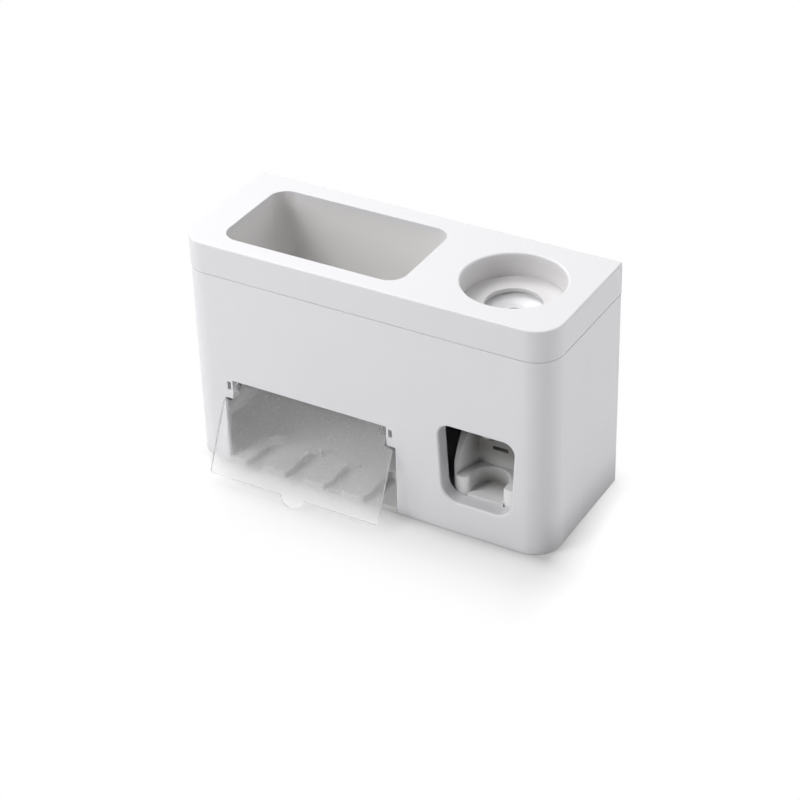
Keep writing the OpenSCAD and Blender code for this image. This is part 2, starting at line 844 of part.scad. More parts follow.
module push_lever() {
  color(lever_white) translate([pump_x, 0, 0]) difference() {
    union() {
      // Cheeks
      side_extrude(-lever_half, -lever_half + cheek_t) cheek_profile();
      side_extrude(lever_half - cheek_t, lever_half) cheek_profile();
      // Shelf and noses
      translate([0, 0, recess_z - lever_t]) linear_extrude(shelf_z - recess_z + lever_t) shelf_plan();
      // Recessed floor
      translate([-recess_r - over, lever_front_y, recess_z - lever_t])
        cube([2 * (recess_r + over), lever_rear_y - lever_front_y, lever_t]);
      // Slanted inner faces that lead the brush head to the middle
      for (side = [0, 1]) mirror([side, 0, 0]) intersection() {
        translate([0, 0, shelf_z - over]) linear_extrude(cheek_top_z - shelf_z + over) polygon([
          [lever_half - cheek_t / 2, lever_front_y],
          [cheek_in_front, lever_front_y],
          [cheek_in_back, lever_wall_y],
          [cheek_in_back, lever_rear_y],
          [lever_half - cheek_t / 2, lever_rear_y]
        ]);
        side_extrude(0, lever_half) cheek_face(lever_wall_y + lever_t / 2);
      }
      // Back wall with its rounded upper corners
      front_extrude(lever_wall_y, lever_rear_y) {
        translate([-cheek_in_back - wall_corner_r, recess_z])
          square([2 * (cheek_in_back + wall_corner_r), lever_wall_top - recess_z - wall_corner_r]);
        translate([-cheek_in_back + wall_corner_r, recess_z])
          square([2 * (cheek_in_back - wall_corner_r), lever_wall_top - recess_z]);
        for (side = [-1, 1])
          translate([side * (cheek_in_back - wall_corner_r), lever_wall_top - wall_corner_r])
            circle(wall_corner_r);
      }
    }
    // Slot in the back wall
    translate([-slot_half, lever_wall_y - over, slot_mid_z - slot_half_h])
      cube([2 * slot_half, lever_t + 2 * over, 2 * slot_half_h]);
    // Bores for the bushes
    along_x(-lever_half - over, axle_y, axle_z) cylinder(r = bush_r, h = 2 * (lever_half + over));
  }
}

module lever_bushes() {
  color(pump_white) translate([pump_x, 0, 0]) for (side = [0, 1]) mirror([side, 0, 0]) difference() {
    union() {
      along_x(lever_half - cheek_t, axle_y, axle_z) cylinder(r = bush_r, h = cheek_t);
      along_x(lever_half, axle_y, axle_z) cylinder(r = bush_flange_r, h = bush_flange_t);
    }
    along_x(lever_half - cheek_t - over, axle_y, axle_z)
      cylinder(r = axle_r + run_fit, h = cheek_t + 2 * over);
  }
}

module lever_axle() {
  reach = bracket_half + clip_groove_gap + clip_t + over;
  color(steel) difference() {
    along_x(pump_x - reach, axle_y, axle_z) cylinder(r = axle_r, h = 2 * reach);
    for (side = [-1, 1])
      along_x(pump_x + side * (bracket_half + clip_groove_gap + clip_t / 2) - clip_t / 2, axle_y, axle_z)
        difference() {
          cylinder(r = axle_r + over, h = clip_t);
          translate([0, 0, -over]) cylinder(r = axle_groove_r, h = clip_t + 2 * over);
        }
  }
}

module axle_clips() {
  color(steel) for (side = [-1, 1])
    along_x(pump_x + side * (bracket_half + clip_groove_gap + clip_t / 2) - clip_t / 2, axle_y, axle_z)
      difference() {
        cylinder(r = clip_r, h = clip_t);
        translate([0, 0, -over]) cylinder(r = axle_groove_r + run_fit, h = clip_t + 2 * over);
        translate([0, -clip_mouth / 2, -over]) cube([2 * clip_r, clip_mouth, clip_t + 2 * over]);
      }
}

module pump_bracket() {
  color(pump_white) translate([pump_x, 0, 0]) difference() {
    union() {
      translate([-bracket_half, bracket_y, bracket_low_z])
        cube([2 * bracket_half, bracket_plate_t, bracket_high_z - bracket_low_z]);
      for (x = [-bracket_half, bracket_half - bracket_t]) side_extrude(x, x + bracket_t) {
        polygon([
          [bracket_y + bracket_plate_t, bracket_foot_z],
          [bracket_y + bracket_plate_t, bracket_high_z],
          [axle_y, axle_z + bracket_ear_r],
          [axle_y, axle_z - bracket_ear_r]
        ]);
        translate([axle_y, axle_z]) circle(bracket_ear_r);
      }
    }
    along_x(-bracket_half - over, axle_y, axle_z)
      cylinder(r = axle_r + run_fit, h = 2 * (bracket_half + over));
    for (side = [-1, 1]) for (z = bracket_screw_heights)
      along_y(side * bracket_screw_half, bracket_y - over, z)
        cylinder(r = screw_hole_r, h = bracket_plate_t + 2 * over);
    for (side = [-1, 1]) for (z = pump_screw_heights)
      along_y(side * pump_screw_half, bracket_y - over, z)
        cylinder(r = small_pilot_r, h = bracket_plate_t + 2 * over);
  }
}

module pump_body() {
  color(pump_white) translate([pump_x, 0, 0]) difference() {
    union() {
      // Column from the inlet down to the channel
      translate([0, 0, channel_z]) cylinder(r = column_r, h = column_top_z - channel_z);
      // Channel from the spout back to the flange
      along_y(0, spout_y, channel_z) cylinder(r = channel_out_r, h = flange_y - spout_y);
      translate([0, spout_y, spout_low_z])
        cylinder(r = spout_r, h = channel_z + channel_out_r - spout_low_z);
      // Drop to the cylinder and the cylinder itself
      translate([0, drop_y, plunger_z]) cylinder(r = drop_r + tube_wall, h = channel_z - plunger_z);
      along_y(0, barrel_y, plunger_z) cylinder(r = barrel_out_r, h = flange_y - barrel_y);
      // Flange that is screwed to the bracket
      translate([-flange_half, flange_y, flange_low_z])
        cube([2 * flange_half, flange_t, flange_high_z - flange_low_z]);
      // Gusset behind the column
      side_extrude(-gusset_t / 2, gusset_t / 2) polygon([
        [column_r / 2, channel_z],
        [column_r / 2, channel_z + (column_top_z - channel_z) * gusset_rise_share - 2 * sleeve_wall],
        [flange_y + flange_t / 2, flange_high_z],
        [flange_y + flange_t / 2, channel_z]
      ]);
    }
    translate([0, 0, channel_z]) cylinder(r = column_bore_r, h = column_top_z - channel_z + over);
    translate([0, 0, column_top_z - valve_seat_h]) cylinder(r = valve_seat_r, h = valve_seat_h + over);
    along_y(0, spout_y, channel_z) cylinder(r = channel_r, h = flange_y + flange_t - spout_y + over);
    translate([0, spout_y, spout_low_z - over])
      cylinder(r = spout_bore_r, h = channel_z - spout_low_z + over);
    translate([0, drop_y, plunger_z]) cylinder(r = drop_r, h = channel_z - plunger_z);
    along_y(0, barrel_y - over, plunger_z) cylinder(r = barrel_r, h = barrel_l + over);
    for (side = [-1, 1]) for (z = pump_screw_heights)
      along_y(side * pump_screw_half, flange_y - over, z)
        cylinder(r = small_pilot_r + run_fit, h = flange_t + 2 * over);
  }
}

module cylinder_cap() {
  color(pump_white) along_y(pump_x, cap_y, plunger_z) difference() {
    cylinder(r = barrel_out_r + run_fit + cap_skirt_t, h = cap_t + cap_skirt_l);
    translate([0, 0, cap_t]) cylinder(r = barrel_out_r + run_fit, h = cap_skirt_l + over);
    translate([0, 0, -over]) cylinder(r = rod_r + run_fit, h = cap_t + 2 * over);
  }
}

module plunger() {
  color(lever_white) along_y(pump_x, plunger_y, plunger_z) {
    intersection() {
      translate([0, 0, nose_r]) sphere(nose_r);
      cylinder(r = plunger_head_r, h = plunger_head_t);
    }
    translate([0, 0, plunger_head_t / 2])
      cylinder(r = rod_r, h = piston_y - plunger_y - plunger_head_t / 2 + over);
    translate([0, 0, piston_y - plunger_y]) difference() {
      cylinder(r = piston_r, h = piston_t);
      translate([0, 0, groove_y - piston_y]) difference() {
        cylinder(r = piston_r + over, h = groove_t);
        translate([0, 0, -over]) cylinder(r = groove_r, h = groove_t + 2 * over);
      }
    }
  }
}

module plunger_seal() {
  color(silicone_grey) along_y(pump_x, groove_y, plunger_z) difference() {
    cylinder(r = seal_r, h = groove_t);
    translate([0, 0, -over]) cylinder(r = groove_r + run_fit, h = groove_t + 2 * over);
  }
}

// Points and faces of a wire that winds round the Z axis
spring_steps = 14;
spring_sides = 8;
function coil_point(t, r, len, turns) = [r * cos(360 * turns * t), r * sin(360 * turns * t), len * t];
function coil_ring(t, r, len, turns, wire) = let (
  a = 360 * turns * t,
  slope = atan2(len, 2 * PI * r * turns),
  out = [cos(a), sin(a), 0],
  up = [sin(slope) * sin(a), -sin(slope) * cos(a), cos(slope)]
) [for (k = [0 : spring_sides - 1])
  coil_point(t, r, len, turns) + wire * (cos(360 * k / spring_sides) * out + sin(360 * k / spring_sides) * up)];

module return_spring() {
  steps = ceil(spring_turns * spring_steps);
  room = cap_y - plunger_y - plunger_head_t - 2 * wire_r - 2 * slack;
  rings = [for (i = [0 : steps]) coil_ring(i / steps, spring_r, room, spring_turns, wire_r)];
  points = [for (ring = rings) for (p = ring) p];
  sides = [for (i = [0 : steps - 1]) for (k = [0 : spring_sides - 1])
    let (a = i * spring_sides + k, b = i * spring_sides + (k + 1) % spring_sides)
    [a, a + spring_sides, b + spring_sides, b]];
  first = [for (k = [0 : spring_sides - 1]) k];
  last = [for (k = [spring_sides - 1 : -1 : 0]) steps * spring_sides + k];
  color(steel) along_y(pump_x, plunger_y + plunger_head_t + wire_r + slack, plunger_z)
    polyhedron(points = points, faces = concat([first], sides, [last]), convexity = 6);
}

module inlet_cup() {
  sleeve_r = cup_seat_r + sleeve_wall;
  chamber_r = ring_r + sleeve_wall;
  rim_z = neck_z + dish_rise;
  color(shell_white) translate([pump_x, 0, 0]) rotate_extrude() polygon([
    [cup_seat_r, sleeve_low_z],
    [sleeve_r, sleeve_low_z],
    [sleeve_r, column_top_z - sleeve_wall],
    [chamber_r, column_top_z],
    [chamber_r, neck_z - dish_t],
    [dish_r, rim_z - dish_t],
    [dish_r, rim_z + dish_lip - dish_t],
    [dish_r - dish_t, rim_z + dish_lip - dish_t],
    [dish_r - dish_t, rim_z - dish_t / 2],
    [ring_r, neck_z],
    [ring_r, ring_floor_z],
    [column_bore_r, ring_floor_z],
    [column_bore_r, column_top_z],
    [cup_seat_r, column_top_z]
  ]);
}

module inlet_gasket() {
  color(silicone_grey) translate([pump_x, 0, ring_floor_z]) difference() {
    cylinder(r = ring_r - run_fit, h = neck_z - ring_floor_z);
    translate([0, 0, -over]) cylinder(r = neck_r, h = neck_z - ring_floor_z + 2 * over);
  }
}

// One-way valve: a disc with a tapered bill that hangs below it
module bill_valve(disc_r, disc_h, r, l, tip_r) {
  rotate_extrude() polygon([
    [disc_r, 0],
    [disc_r, -disc_h],
    [r, -disc_h],
    [r, -disc_h - l / 3],
    [tip_r, -disc_h - l],
    [bill_slit_r, -disc_h - l],
    [r - bill_wall, -disc_h - l / 3],
    [r - bill_wall, 0]
  ]);
}

module intake_valve() {
  color(silicone_grey) translate([pump_x, 0, column_top_z])
    bill_valve(valve_seat_r - run_fit, valve_seat_h, bill_r, bill_l, bill_tip_r);
}

module outlet_valve() {
  color(silicone_grey) translate([pump_x, spout_y, outlet_z + outlet_disc_h])
    bill_valve(spout_bore_r - run_fit, outlet_disc_h, outlet_bill_r, outlet_bill_l, bill_tip_r);
}

module outlet_nozzle() {
  color(lever_white) translate([pump_x, spout_y, 0]) rotate_extrude() polygon([
    [nozzle_bore_r, nozzle_tip_z],
    [nozzle_tip_r, nozzle_tip_z],
    [nozzle_collar_r - nozzle_collar_t, spout_low_z - nozzle_collar_t],
    [nozzle_collar_r, spout_low_z - nozzle_collar_t],
    [nozzle_collar_r, spout_low_z],
    [nozzle_r, spout_low_z],
    [nozzle_r, outlet_z],
    [nozzle_bore_r, outlet_z]
  ]);
}

module channel_plug() {
  color(pump_white) along_y(pump_x, flange_y + flange_t - plug_l, channel_z)
    cylinder(r = channel_r - run_fit, h = plug_l);
}

module shell_screws() {
  color(steel) for (side = [-1, 1]) for (z = post_heights)
    along_y(side * post_x, back_y - shell_seat_d, z) screw(shell_screw_l, screw_r, head_r, head_h);
}

module base_screws(places) {
  for (p = places) translate([p[0], p[1], base_seat]) mirror([0, 0, 1])
    screw(base_screw_l, screw_r, head_r, head_h);
}

module comb_screws() {
  color(steel) base_screws(comb_screw_places);
}

module cover_screws() {
  color(steel) base_screws(cover_screw_places);
}

module bracket_screws() {
  color(steel) for (side = [-1, 1]) for (z = bracket_screw_heights)
    translate([pump_x + side * bracket_screw_half, bracket_y, z]) rotate([90, 0, 0])
      screw(bracket_screw_l, screw_r, head_r, head_h);
}

module pump_screws() {
  color(steel) for (side = [-1, 1]) for (z = pump_screw_heights)
    translate([pump_x + side * pump_screw_half, flange_y, z]) rotate([90, 0, 0])
      screw(pump_screw_l, small_screw_r, small_head_r, small_head_h);
}

front_shell();
back_shell();
top_tray();
brush_comb();
base_cover();
dust_flap();
push_lever();
lever_bushes();
lever_axle();
axle_clips();
pump_bracket();
pump_body();
cylinder_cap();
plunger();
plunger_seal();
return_spring();
inlet_cup();
inlet_gasket();
intake_valve();
outlet_valve();
outlet_nozzle();
channel_plug();
shell_screws();
comb_screws();
cover_screws();
bracket_screws();
pump_screws();
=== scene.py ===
"""A bathroom unit with a storage tray, a cup well, a brush bay under a clear flap and a
lever pump for paste. The camera and the lights come first, and then the sections follow
the unit as it is put together, from the case on. Sizes are in millimetres, and finishes
and lamps are placed in metres."""
import math

import bmesh
import bpy
from mathutils import Matrix, Vector


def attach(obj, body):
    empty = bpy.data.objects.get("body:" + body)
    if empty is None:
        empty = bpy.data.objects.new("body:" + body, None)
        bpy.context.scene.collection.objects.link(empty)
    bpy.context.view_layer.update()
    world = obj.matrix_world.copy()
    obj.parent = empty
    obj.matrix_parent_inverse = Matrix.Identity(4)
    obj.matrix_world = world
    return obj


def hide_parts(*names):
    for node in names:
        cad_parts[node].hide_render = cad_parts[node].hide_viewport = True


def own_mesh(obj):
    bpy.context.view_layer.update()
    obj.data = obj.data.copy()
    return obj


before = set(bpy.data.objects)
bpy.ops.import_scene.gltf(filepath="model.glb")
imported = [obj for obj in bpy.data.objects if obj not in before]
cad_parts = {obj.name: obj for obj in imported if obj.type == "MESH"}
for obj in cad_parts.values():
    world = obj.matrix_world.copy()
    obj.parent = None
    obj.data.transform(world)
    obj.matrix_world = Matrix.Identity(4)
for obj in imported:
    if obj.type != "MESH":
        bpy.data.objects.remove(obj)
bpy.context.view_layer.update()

# Camera of the photograph. Its turn, height, roll and distance were fitted to the
# unit's edges, and the frame is square.
MM = 0.001
camera_turn, camera_height, camera_roll = (math.radians(a) for a in (30.7118, 33.3933, -1.7808))
camera_distance = 1442.1 * MM
camera_target = Vector((8.70, -16.34, 63.78)) * MM
frame_pixels, focal_pixels, sensor_width = 800, 2246.33, 36
towards_camera = Vector((
    math.sin(camera_turn) * math.cos(camera_height),
    -math.cos(camera_turn) * math.cos(camera_height),
    math.sin(camera_height),
))
camera_right = Vector((math.cos(camera_turn), math.sin(camera_turn), 0))
camera_up = towards_camera.cross(camera_right)
bpy.ops.object.camera_add()
camera = bpy.context.object
camera.name = "photo_camera"
camera.data.sensor_width = sensor_width
camera.data.lens = sensor_width * focal_pixels / frame_pixels
camera.data.clip_start, camera.data.clip_end = 0.05, 30
camera_axes = Matrix((camera_right, camera_up, towards_camera)).transposed().to_4x4()
camera.matrix_world = (
    Matrix.Translation(camera_target + towards_camera * camera_distance)
    @ camera_axes
    @ Matrix.Rotation(camera_roll, 4, "Z")
)
bpy.context.scene.camera = camera
bpy.context.scene.view_settings.view_transform = "Standard"


# Floor and lights. The floor is a pale studio sheet whose own colour is painted darker close
# round the unit as a painted contact shadow. Near the unit it keeps the unit's soft shadow,
# and further out it glows to the room's white. Large soft lamps stand at the front left,
# behind, overhead and on the right, with the strengths that the photograph's shading asks for.
class Value:
    """Value inside a finish, which can be added to and multiplied as a plain number."""

    def __init__(self, finish, socket):
        self.finish, self.socket = finish, socket

    def worked(self, how, first, second):
        return self.finish.node("ShaderNodeMath", {"operation": how}, {0: first, 1: second})

    def __add__(self, other):
        return self.worked("ADD", self, other)

    def __rsub__(self, other):
        return self.worked("SUBTRACT", other, self)

    def __mul__(self, other):
        return self.worked("MULTIPLY", self, other)

    __radd__ = __add__
    __rmul__ = __mul__

    def or_larger(self, other):
        return self.worked("MAXIMUM", self, other)


class Finish:
    """Finish made of nodes that read a piece's own places, in metres."""

    def __init__(self, name, **constants):
        self.material = bpy.data.materials.new(name)
        self.material.use_nodes = True
        self.nodes = self.material.node_tree.nodes
        self.shader = self.nodes["Principled BSDF"]
        for socket, value in constants.items():
            self.shader.inputs[socket.replace("_", " ")].default_value = value

    def node(self, kind, settings=None, sockets=None, out=0):
        made = self.nodes.new(kind)
        for key, value in (settings or {}).items():
            if key == "stops":
                ramp = made.color_ramp
                while len(ramp.elements) < len(value):
                    ramp.elements.new(0.5)
                for stop, (place, colour) in zip(ramp.elements, value):
                    stop.position, stop.color = place, colour
            else:
                setattr(made, key, value)
        self.join(made, sockets or {})
        return Value(self, made.outputs[out])

    def join(self, made, sockets):
        for key, value in sockets.items():
            if isinstance(value, Value):
                self.material.node_tree.links.new(value.socket, made.inputs[key])
            else:
                made.inputs[key].default_value = value

    def place(self, scale=(1, 1, 1)):
        coordinates = self.node("ShaderNodeTexCoord", out="Object")
        return self.node("ShaderNodeMapping", {}, {"Vector": coordinates, "Scale": scale})

    def along(self, axis):
        return self.node("ShaderNodeSeparateXYZ", {}, {0: self.place()}, out=axis)

    def vector(self, how, first, second=(0, 0, 0), out="Vector"):
        return self.node("ShaderNodeVectorMath", {"operation": how}, {0: first, 1: second}, out)

    def outside_of(self, half_width, half_depth):
        """How far a point lies outside a rectangle round the middle, seen from above."""
        folded = self.vector("ABSOLUTE", self.place((1, 1, 0)))
        beyond = self.vector("SUBTRACT", folded, (half_width, half_depth, 0))
        return self.vector("LENGTH", self.vector("MAXIMUM", beyond), out="Value")

    def rise(self, value, start, end, shape="SMOOTHSTEP"):
        """Share that goes from 0 to 1 as a value goes from start to end."""
        return self.node(
            "ShaderNodeMapRange", {"interpolation_type": shape},
            {"Value": value, "From Min": start, "From Max": end},
        )

    def greys(self, value, *stops):
        """Grey between the stops of place and share that a value lies between."""
        stops = [(place, (share, share, share, 1)) for place, share in stops]
        return self.node("ShaderNodeValToRGB", {"stops": stops}, {"Fac": value})

    def noise(self, per_metre, detail):
        sockets = {"Vector": self.place(), "Scale": per_metre, "Detail": detail}
        return self.node("ShaderNodeTexNoise", {}, sockets)

    def blend(self, share, first, second):
        first, second = (tone if isinstance(tone, Value) else (*tone, 1) for tone in (first, second))
        return self.node("ShaderNodeMix", {"data_type": "RGBA"}, {"Factor": share, 6: first, 7: second}, 2)

    def bump(self, height, distance):
        bumped = self.node("ShaderNodeBump", {}, {"Height": height, "Distance": distance, "Strength": 1.0})
        self.surface(Normal=bumped)

    def surface(self, **sockets):
        self.join(self.shader, {key.replace("_", " "): value for key, value in sockets.items()})

    def looked_at(self):
        """Share of 1 for what is seen straight on, mirrored or through clear plastic, else 0."""
        seen = self.node("ShaderNodeLightPath", out="Is Camera Ray")
        mirrored, through = (
            Value(self, seen.socket.node.outputs[kind]) for kind in ("Is Glossy Ray", "Is Transmission Ray")
        )
        return seen + mirrored + through


bpy.ops.mesh.primitive_plane_add(size=8)
floor = bpy.context.object
floor.name = "studio_floor"
sheet = Finish("studio_sheet", Roughness=0.9, Specular_IOR_Level=0.1)
lit_sheet = Value(sheet, sheet.shader.outputs[0])
white_sheet = sheet.node("ShaderNodeEmission", {}, {"Color": (1, 1, 1, 1), "Strength": 1.0})
unit_half_width, unit_half_depth = 0.13, 0.048
tenths_away = sheet.outside_of(unit_half_width, unit_half_depth) * 10
# Painted contact shadow: the sheet's colour darkens close round the unit.
sheet.surface(Base_Color=sheet.greys(tenths_away, (0, 0.5), (0.04, 0.66), (0.09, 0.79), (0.15, 0.84)))
clear_all_round = sheet.greys(tenths_away, (0, 0.02), (0.1, 0.14), (0.2, 0.34), (0.4, 0.64), (0.75, 1))
# The sheet's white glow comes in sooner past the unit's left end and, slantwise, past its right end,
# painting out the lamps' shadow there.
clear_left = sheet.rise(sheet.along("X"), -0.1, -0.133)
clear_right = sheet.rise(sheet.along("Y") * 0.35 + sheet.along("X"), 0.095, 0.165)
clearing = clear_all_round.or_larger(clear_left) + clear_right * 0.8
seen_sheet = sheet.node(
    "ShaderNodeMixShader", {}, {0: sheet.looked_at() * clearing, 1: lit_sheet, 2: white_sheet}
)
sheet.join(sheet.nodes["Material Output"], {"Surface": seen_sheet})
floor.data.materials.append(sheet.material)


class Room(Finish):
    """Light of the room round the unit, which looks white behind it."""

    def __init__(self, world):
        world.use_nodes = True
        self.material, self.nodes = world, world.node_tree.nodes
        self.shader = self.nodes["Background"]


world = bpy.data.worlds.new("studio_room")
bpy.context.scene.world = world
room = Room(world)
room.surface(Color=(0.985, 0.99, 1.0, 1), Strength=0.02)
room_light = Value(room, room.shader.outputs[0])
backdrop = room.node("ShaderNodeBackground", {}, {"Color": (1, 1, 1, 1), "Strength": 1.0})
room_mix = room.node("ShaderNodeMixShader", {}, {0: room.looked_at(), 1: room_light, 2: backdrop})
room.join(room.nodes["World Output"], {"Surface": room_mix})


def soft_lamp(name, place, size, power):
    """Square soft lamp that points at the middle of the unit."""
    bpy.ops.object.light_add(type="AREA", location=place)
    lamp = bpy.context.object
    lamp.name = name
    lamp.data.size, lamp.data.energy = size, power
    lamp.rotation_euler = (Vector(place) - camera_target).to_track_quat("Z", "Y").to_euler()


soft_lamp("front_left_lamp", (-1.3, -1.6, 1.1), 1.2, 19)
soft_lamp("front_high_lamp", (-1.1, -1.5, 1.9), 1.0, 23.8)
soft_lamp("back_lamp", (-1.2, 0.68, 2.0), 1.2, 36.3)
soft_lamp("right_lamp", (1.9, -0.2, 0.9), 1.2, 3.3)
soft_lamp("right_back_lamp", (1.75, 0.6, 0.65), 1.2, 12.2)
soft_lamp("overhead_lamp", (0, 0.1, 1.8), 2.0, 9.1)

# Front half of the case, moulded in satin white plastic in one with the window's collar,
# the hinge lugs and the divider. It is welded from plain blocks and then cut, and every
# sharp edge gets a small radius. Screws from below and from behind run into its bosses.
half_width, half_depth, case_wall, seam_y = 132, 49.5, 2.5, 0.6
front_corner, back_corner, foot_radius, inside_y = 18.3, 1.2, 0.8, 48.3
tray_foot, groove_foot, groove_depth, above_case = 142.7, 142.3, 1, 144
divider_x, divider_top = (30.4, 32.6), 138.1
bay_x, lug_ends, lug_foot, lug_top = (-98.1, 17.4), (-104.6, 23.9), 51.5, 65.7
before_case, bay_back, lug_back, collar_back = -52, -47, -43, -39.5
hinge_y, hinge_z = -46.2, 61
post_places = [(x, z) for x in (-120, 120) for z in (24, 118)]
comb_screw_places = [(-124.7, -23.5), (-124.7, 42.2), (25.6, -9), (25.6, 42.2)]
cover_screw_places = [(x, y) for x in (37.4, 124.7) for y in (-23.5, 42.2)]
boss_radius, pilot_radius, hole_radius, sunk_radius = 4.5, 1.55, 1.75, 3.3
pin_socket_radius, collar_wall = 1.45, 1.8


class Moulded(Finish):
    """Satin moulded plastic with a faint cloudy tone, fine spark grain and uneven gloss."""

    def __init__(self, name, rough):
        super().__init__(name, Specular_IOR_Level=0.42)
        self.cloud, self.spark = self.noise(22, 3), self.noise(2600, 1)
        self.surface(Roughness=self.noise(75, 4) * 0.12 + rough)
        self.bump(self.spark, 0.000012)


# The foot of the right end is graded darker than the rest of the case, as painted shade.
shell_plastic = Moulded("satin_white_shell", 0.4)
right_end = shell_plastic.rise(shell_plastic.along("X"), 0.122, 0.131)
painted_foot_shade = right_end * shell_plastic.rise(shell_plastic.along("Z"), 0.03, 0)
shell_plastic.surface(Base_Color=shell_plastic.blend(
    painted_foot_shade * 0.92 + shell_plastic.cloud * 0.07 + shell_plastic.spark * 0.03,
    (0.718, 0.713, 0.736), (0.53, 0.526, 0.54),
))


def alone(piece):
    bpy.ops.object.select_all(action="DESELECT")
    piece.select_set(True)
    bpy.context.view_layer.objects.active = piece


def open_all(piece):
    """Opens a piece in edit mode with all of it selected."""
    alone(piece)
    bpy.ops.object.mode_set(mode="EDIT")
    bpy.ops.mesh.select_all(action="SELECT")


def settle(piece):
    """Moves a piece's place, turn and size into its mesh, and rounds its corners to a
    ten-thousandth of a millimetre, so that faces meant to meet do meet."""
    alone(piece)
    bpy.ops.object.transform_apply(location=True, rotation=True, scale=True)
    for corner in piece.data.vertices:
        corner.co = [round(a, 7) for a in corner.co]
    return piece


def placed(name):
    piece = bpy.context.object
    piece.name = piece.data.name = name
    return settle(piece)


def block(name, x, y, z):
    """Block between two places on each axis."""
    ends = (x, y, z)
    bpy.ops.object.select_all(action="DESELECT")
    bpy.ops.mesh.primitive_cube_add(size=MM, location=[(a + b) / 2 * MM for a, b in ends])
    bpy.context.object.scale = [b - a for a, b in ends]
    return placed(name)


AXIS_TURN = {"X": (0, math.pi / 2, 0), "Y": (math.pi / 2, 0, 0), "Z": (0, 0, 0)}


def add_bar(radius, middle, length, axis, sides):
    bpy.ops.mesh.primitive_cylinder_add(
        vertices=sides,
        radius=radius * MM,
        depth=length * MM,
        location=[a * MM for a in middle],
        rotation=AXIS_TURN[axis],
    )


def rod(name, radius, middle, length, axis, sides):
    """Round bar about a middle, along an axis."""
    bpy.ops.object.select_all(action="DESELECT")
    add_bar(radius, middle, length, axis, sides)
    return placed(name)


def soften(piece, test, radius, steps=4, along=None, clamp=True):
    """Rounds the edges all of whose corners pass a test. With along, only edges that run
    along that axis are taken."""
    alone(piece)
    bpy.ops.object.mode_set(mode="EDIT")
    bpy.ops.mesh.select_mode(type="EDGE")
    bpy.ops.mesh.select_all(action="DESELECT")
    mesh = bmesh.from_edit_mesh(piece.data)
    for edge in mesh.edges:
        edge.select = all(test(*(corner.co / MM)) for corner in edge.verts)
        if along is not None:
            run = (edge.verts[1].co - edge.verts[0].co).normalized()
            edge.select &= abs(run["XYZ".index(along)]) > 0.99
    mesh.select_flush_mode()
    bmesh.update_edit_mesh(piece.data)
    bpy.ops.mesh.bevel(offset=radius * MM, segments=steps, affect="EDGES", clamp_overlap=clamp)
    bpy.ops.object.mode_set(mode="OBJECT")
    return piece


def combine(piece, tool, how):
    """Joins, cuts or trims a piece with a tool, which is used up."""
    alone(piece)
    step = piece.modifiers.new(how, "BOOLEAN")
    step.operation, step.object, step.solver = how, tool, "EXACT"
    bpy.ops.object.modifier_apply(modifier=step.name)
    bpy.data.objects.remove(tool)
    return piece


def weld(piece, tool):
    return combine(piece, tool, "UNION")


def carve(piece, tool):
    return combine(piece, tool, "DIFFERENCE")


def near(a, b):
    """Whether two places or sizes are the same, within a fiftieth of a millimetre."""
    return abs(a - b) < 0.02


def plan_slab(name, grow, z):
    """Slab with the case's plan, grown or shrunk all round."""
    x_end, y_end = half_width + grow, half_depth + grow
    slab = block(name, (-x_end, x_end), (-y_end, y_end), z)
    soften(slab, lambda x, y, _: near(y, -y_end), front_corner + grow, 16, "Z")
    soften(slab, lambda x, y, _: near(y, y_end), max(back_corner + grow, 0.5), 8, "Z")
    return slab


def window_slab(name, grow, y):
    """Slab with the window's outline: wider at the top, with larger round corners below."""
    middle_x, middle_y, depth = 81.4, sum(y) / 2, y[1] - y[0]
    upper_radius, upper_reach, upper_z = 8 + grow, 18.5, 71.4
    lower_radius, lower_reach, lower_z = 12 + grow, 12.6, 35.2
    slab = rod(name, upper_radius, (middle_x - upper_reach, middle_y, upper_z), depth, "Y", 96)
    alone(slab)
    bpy.ops.object.mode_set(mode="EDIT")
    add_bar(upper_radius, (middle_x + upper_reach, middle_y, upper_z), depth, "Y", 96)
    for side in (-1, 1):
        add_bar(lower_radius, (middle_x + side * lower_reach, middle_y, lower_z), depth, "Y", 96)
    bpy.ops.mesh.select_all(action="SELECT")
    bpy.ops.mesh.convex_hull(delete_unused=True, join_triangles=True)
    bpy.ops.mesh.select_all(action="SELECT")
    bpy.ops.mesh.dissolve_limited(angle_limit=math.radians(0.4))
    bpy.ops.object.mode_set(mode="OBJECT")
    return slab


def case_ring(name):
    """Upright wall of the whole case, with a shadow step round its top edge that is taller
    on the right side."""
    ring = soften(plan_slab(name, 0, (0, tray_foot)), lambda x, y, z: near(z, 0), foot_radius, 3)
    carve(ring, plan_slab("cut", -case_wall, (-1, above_case)))
    carve(ring, block("side_step", (131, 134), (-30, 55), (141.9, 142.6)))
    step = plan_slab("step", 2, (groove_foot, above_case))
    return carve(ring, carve(step, plan_slab("cut", -groove_depth, (141, 145))))


def halve(piece, keep_front):
    """Cuts a piece upright along the case's seam and keeps one half."""
    open_all(piece)
    bpy.ops.mesh.bisect(
        plane_co=(0, seam_y * MM, 0),
        plane_no=(0, 1, 0),
        use_fill=True,
        clear_outer=keep_front,
        clear_inner=not keep_front,
    )
    bpy.ops.object.mode_set(mode="OBJECT")
    return piece


def add_base_boss(case_half, x, y):
    """Adds a boss for a screw from below, with a rib to the wall beside it."""
    wall_x = min((-half_width, sum(divider_x) / 2, half_width), key=lambda place: abs(place - x))
    reach = sorted((x, x + math.copysign(5.9, wall_x - x)))
    boss = rod("boss", boss_radius, (x, y, 10.5), 12, "Z", 32)
    weld(case_half, weld(boss, block("rib", reach, (y - 0.75, y + 0.75), (4.5, 16.4))))
    carve(case_half, rod("pilot", pilot_radius, (x, y, 9), 10, "Z", 24))


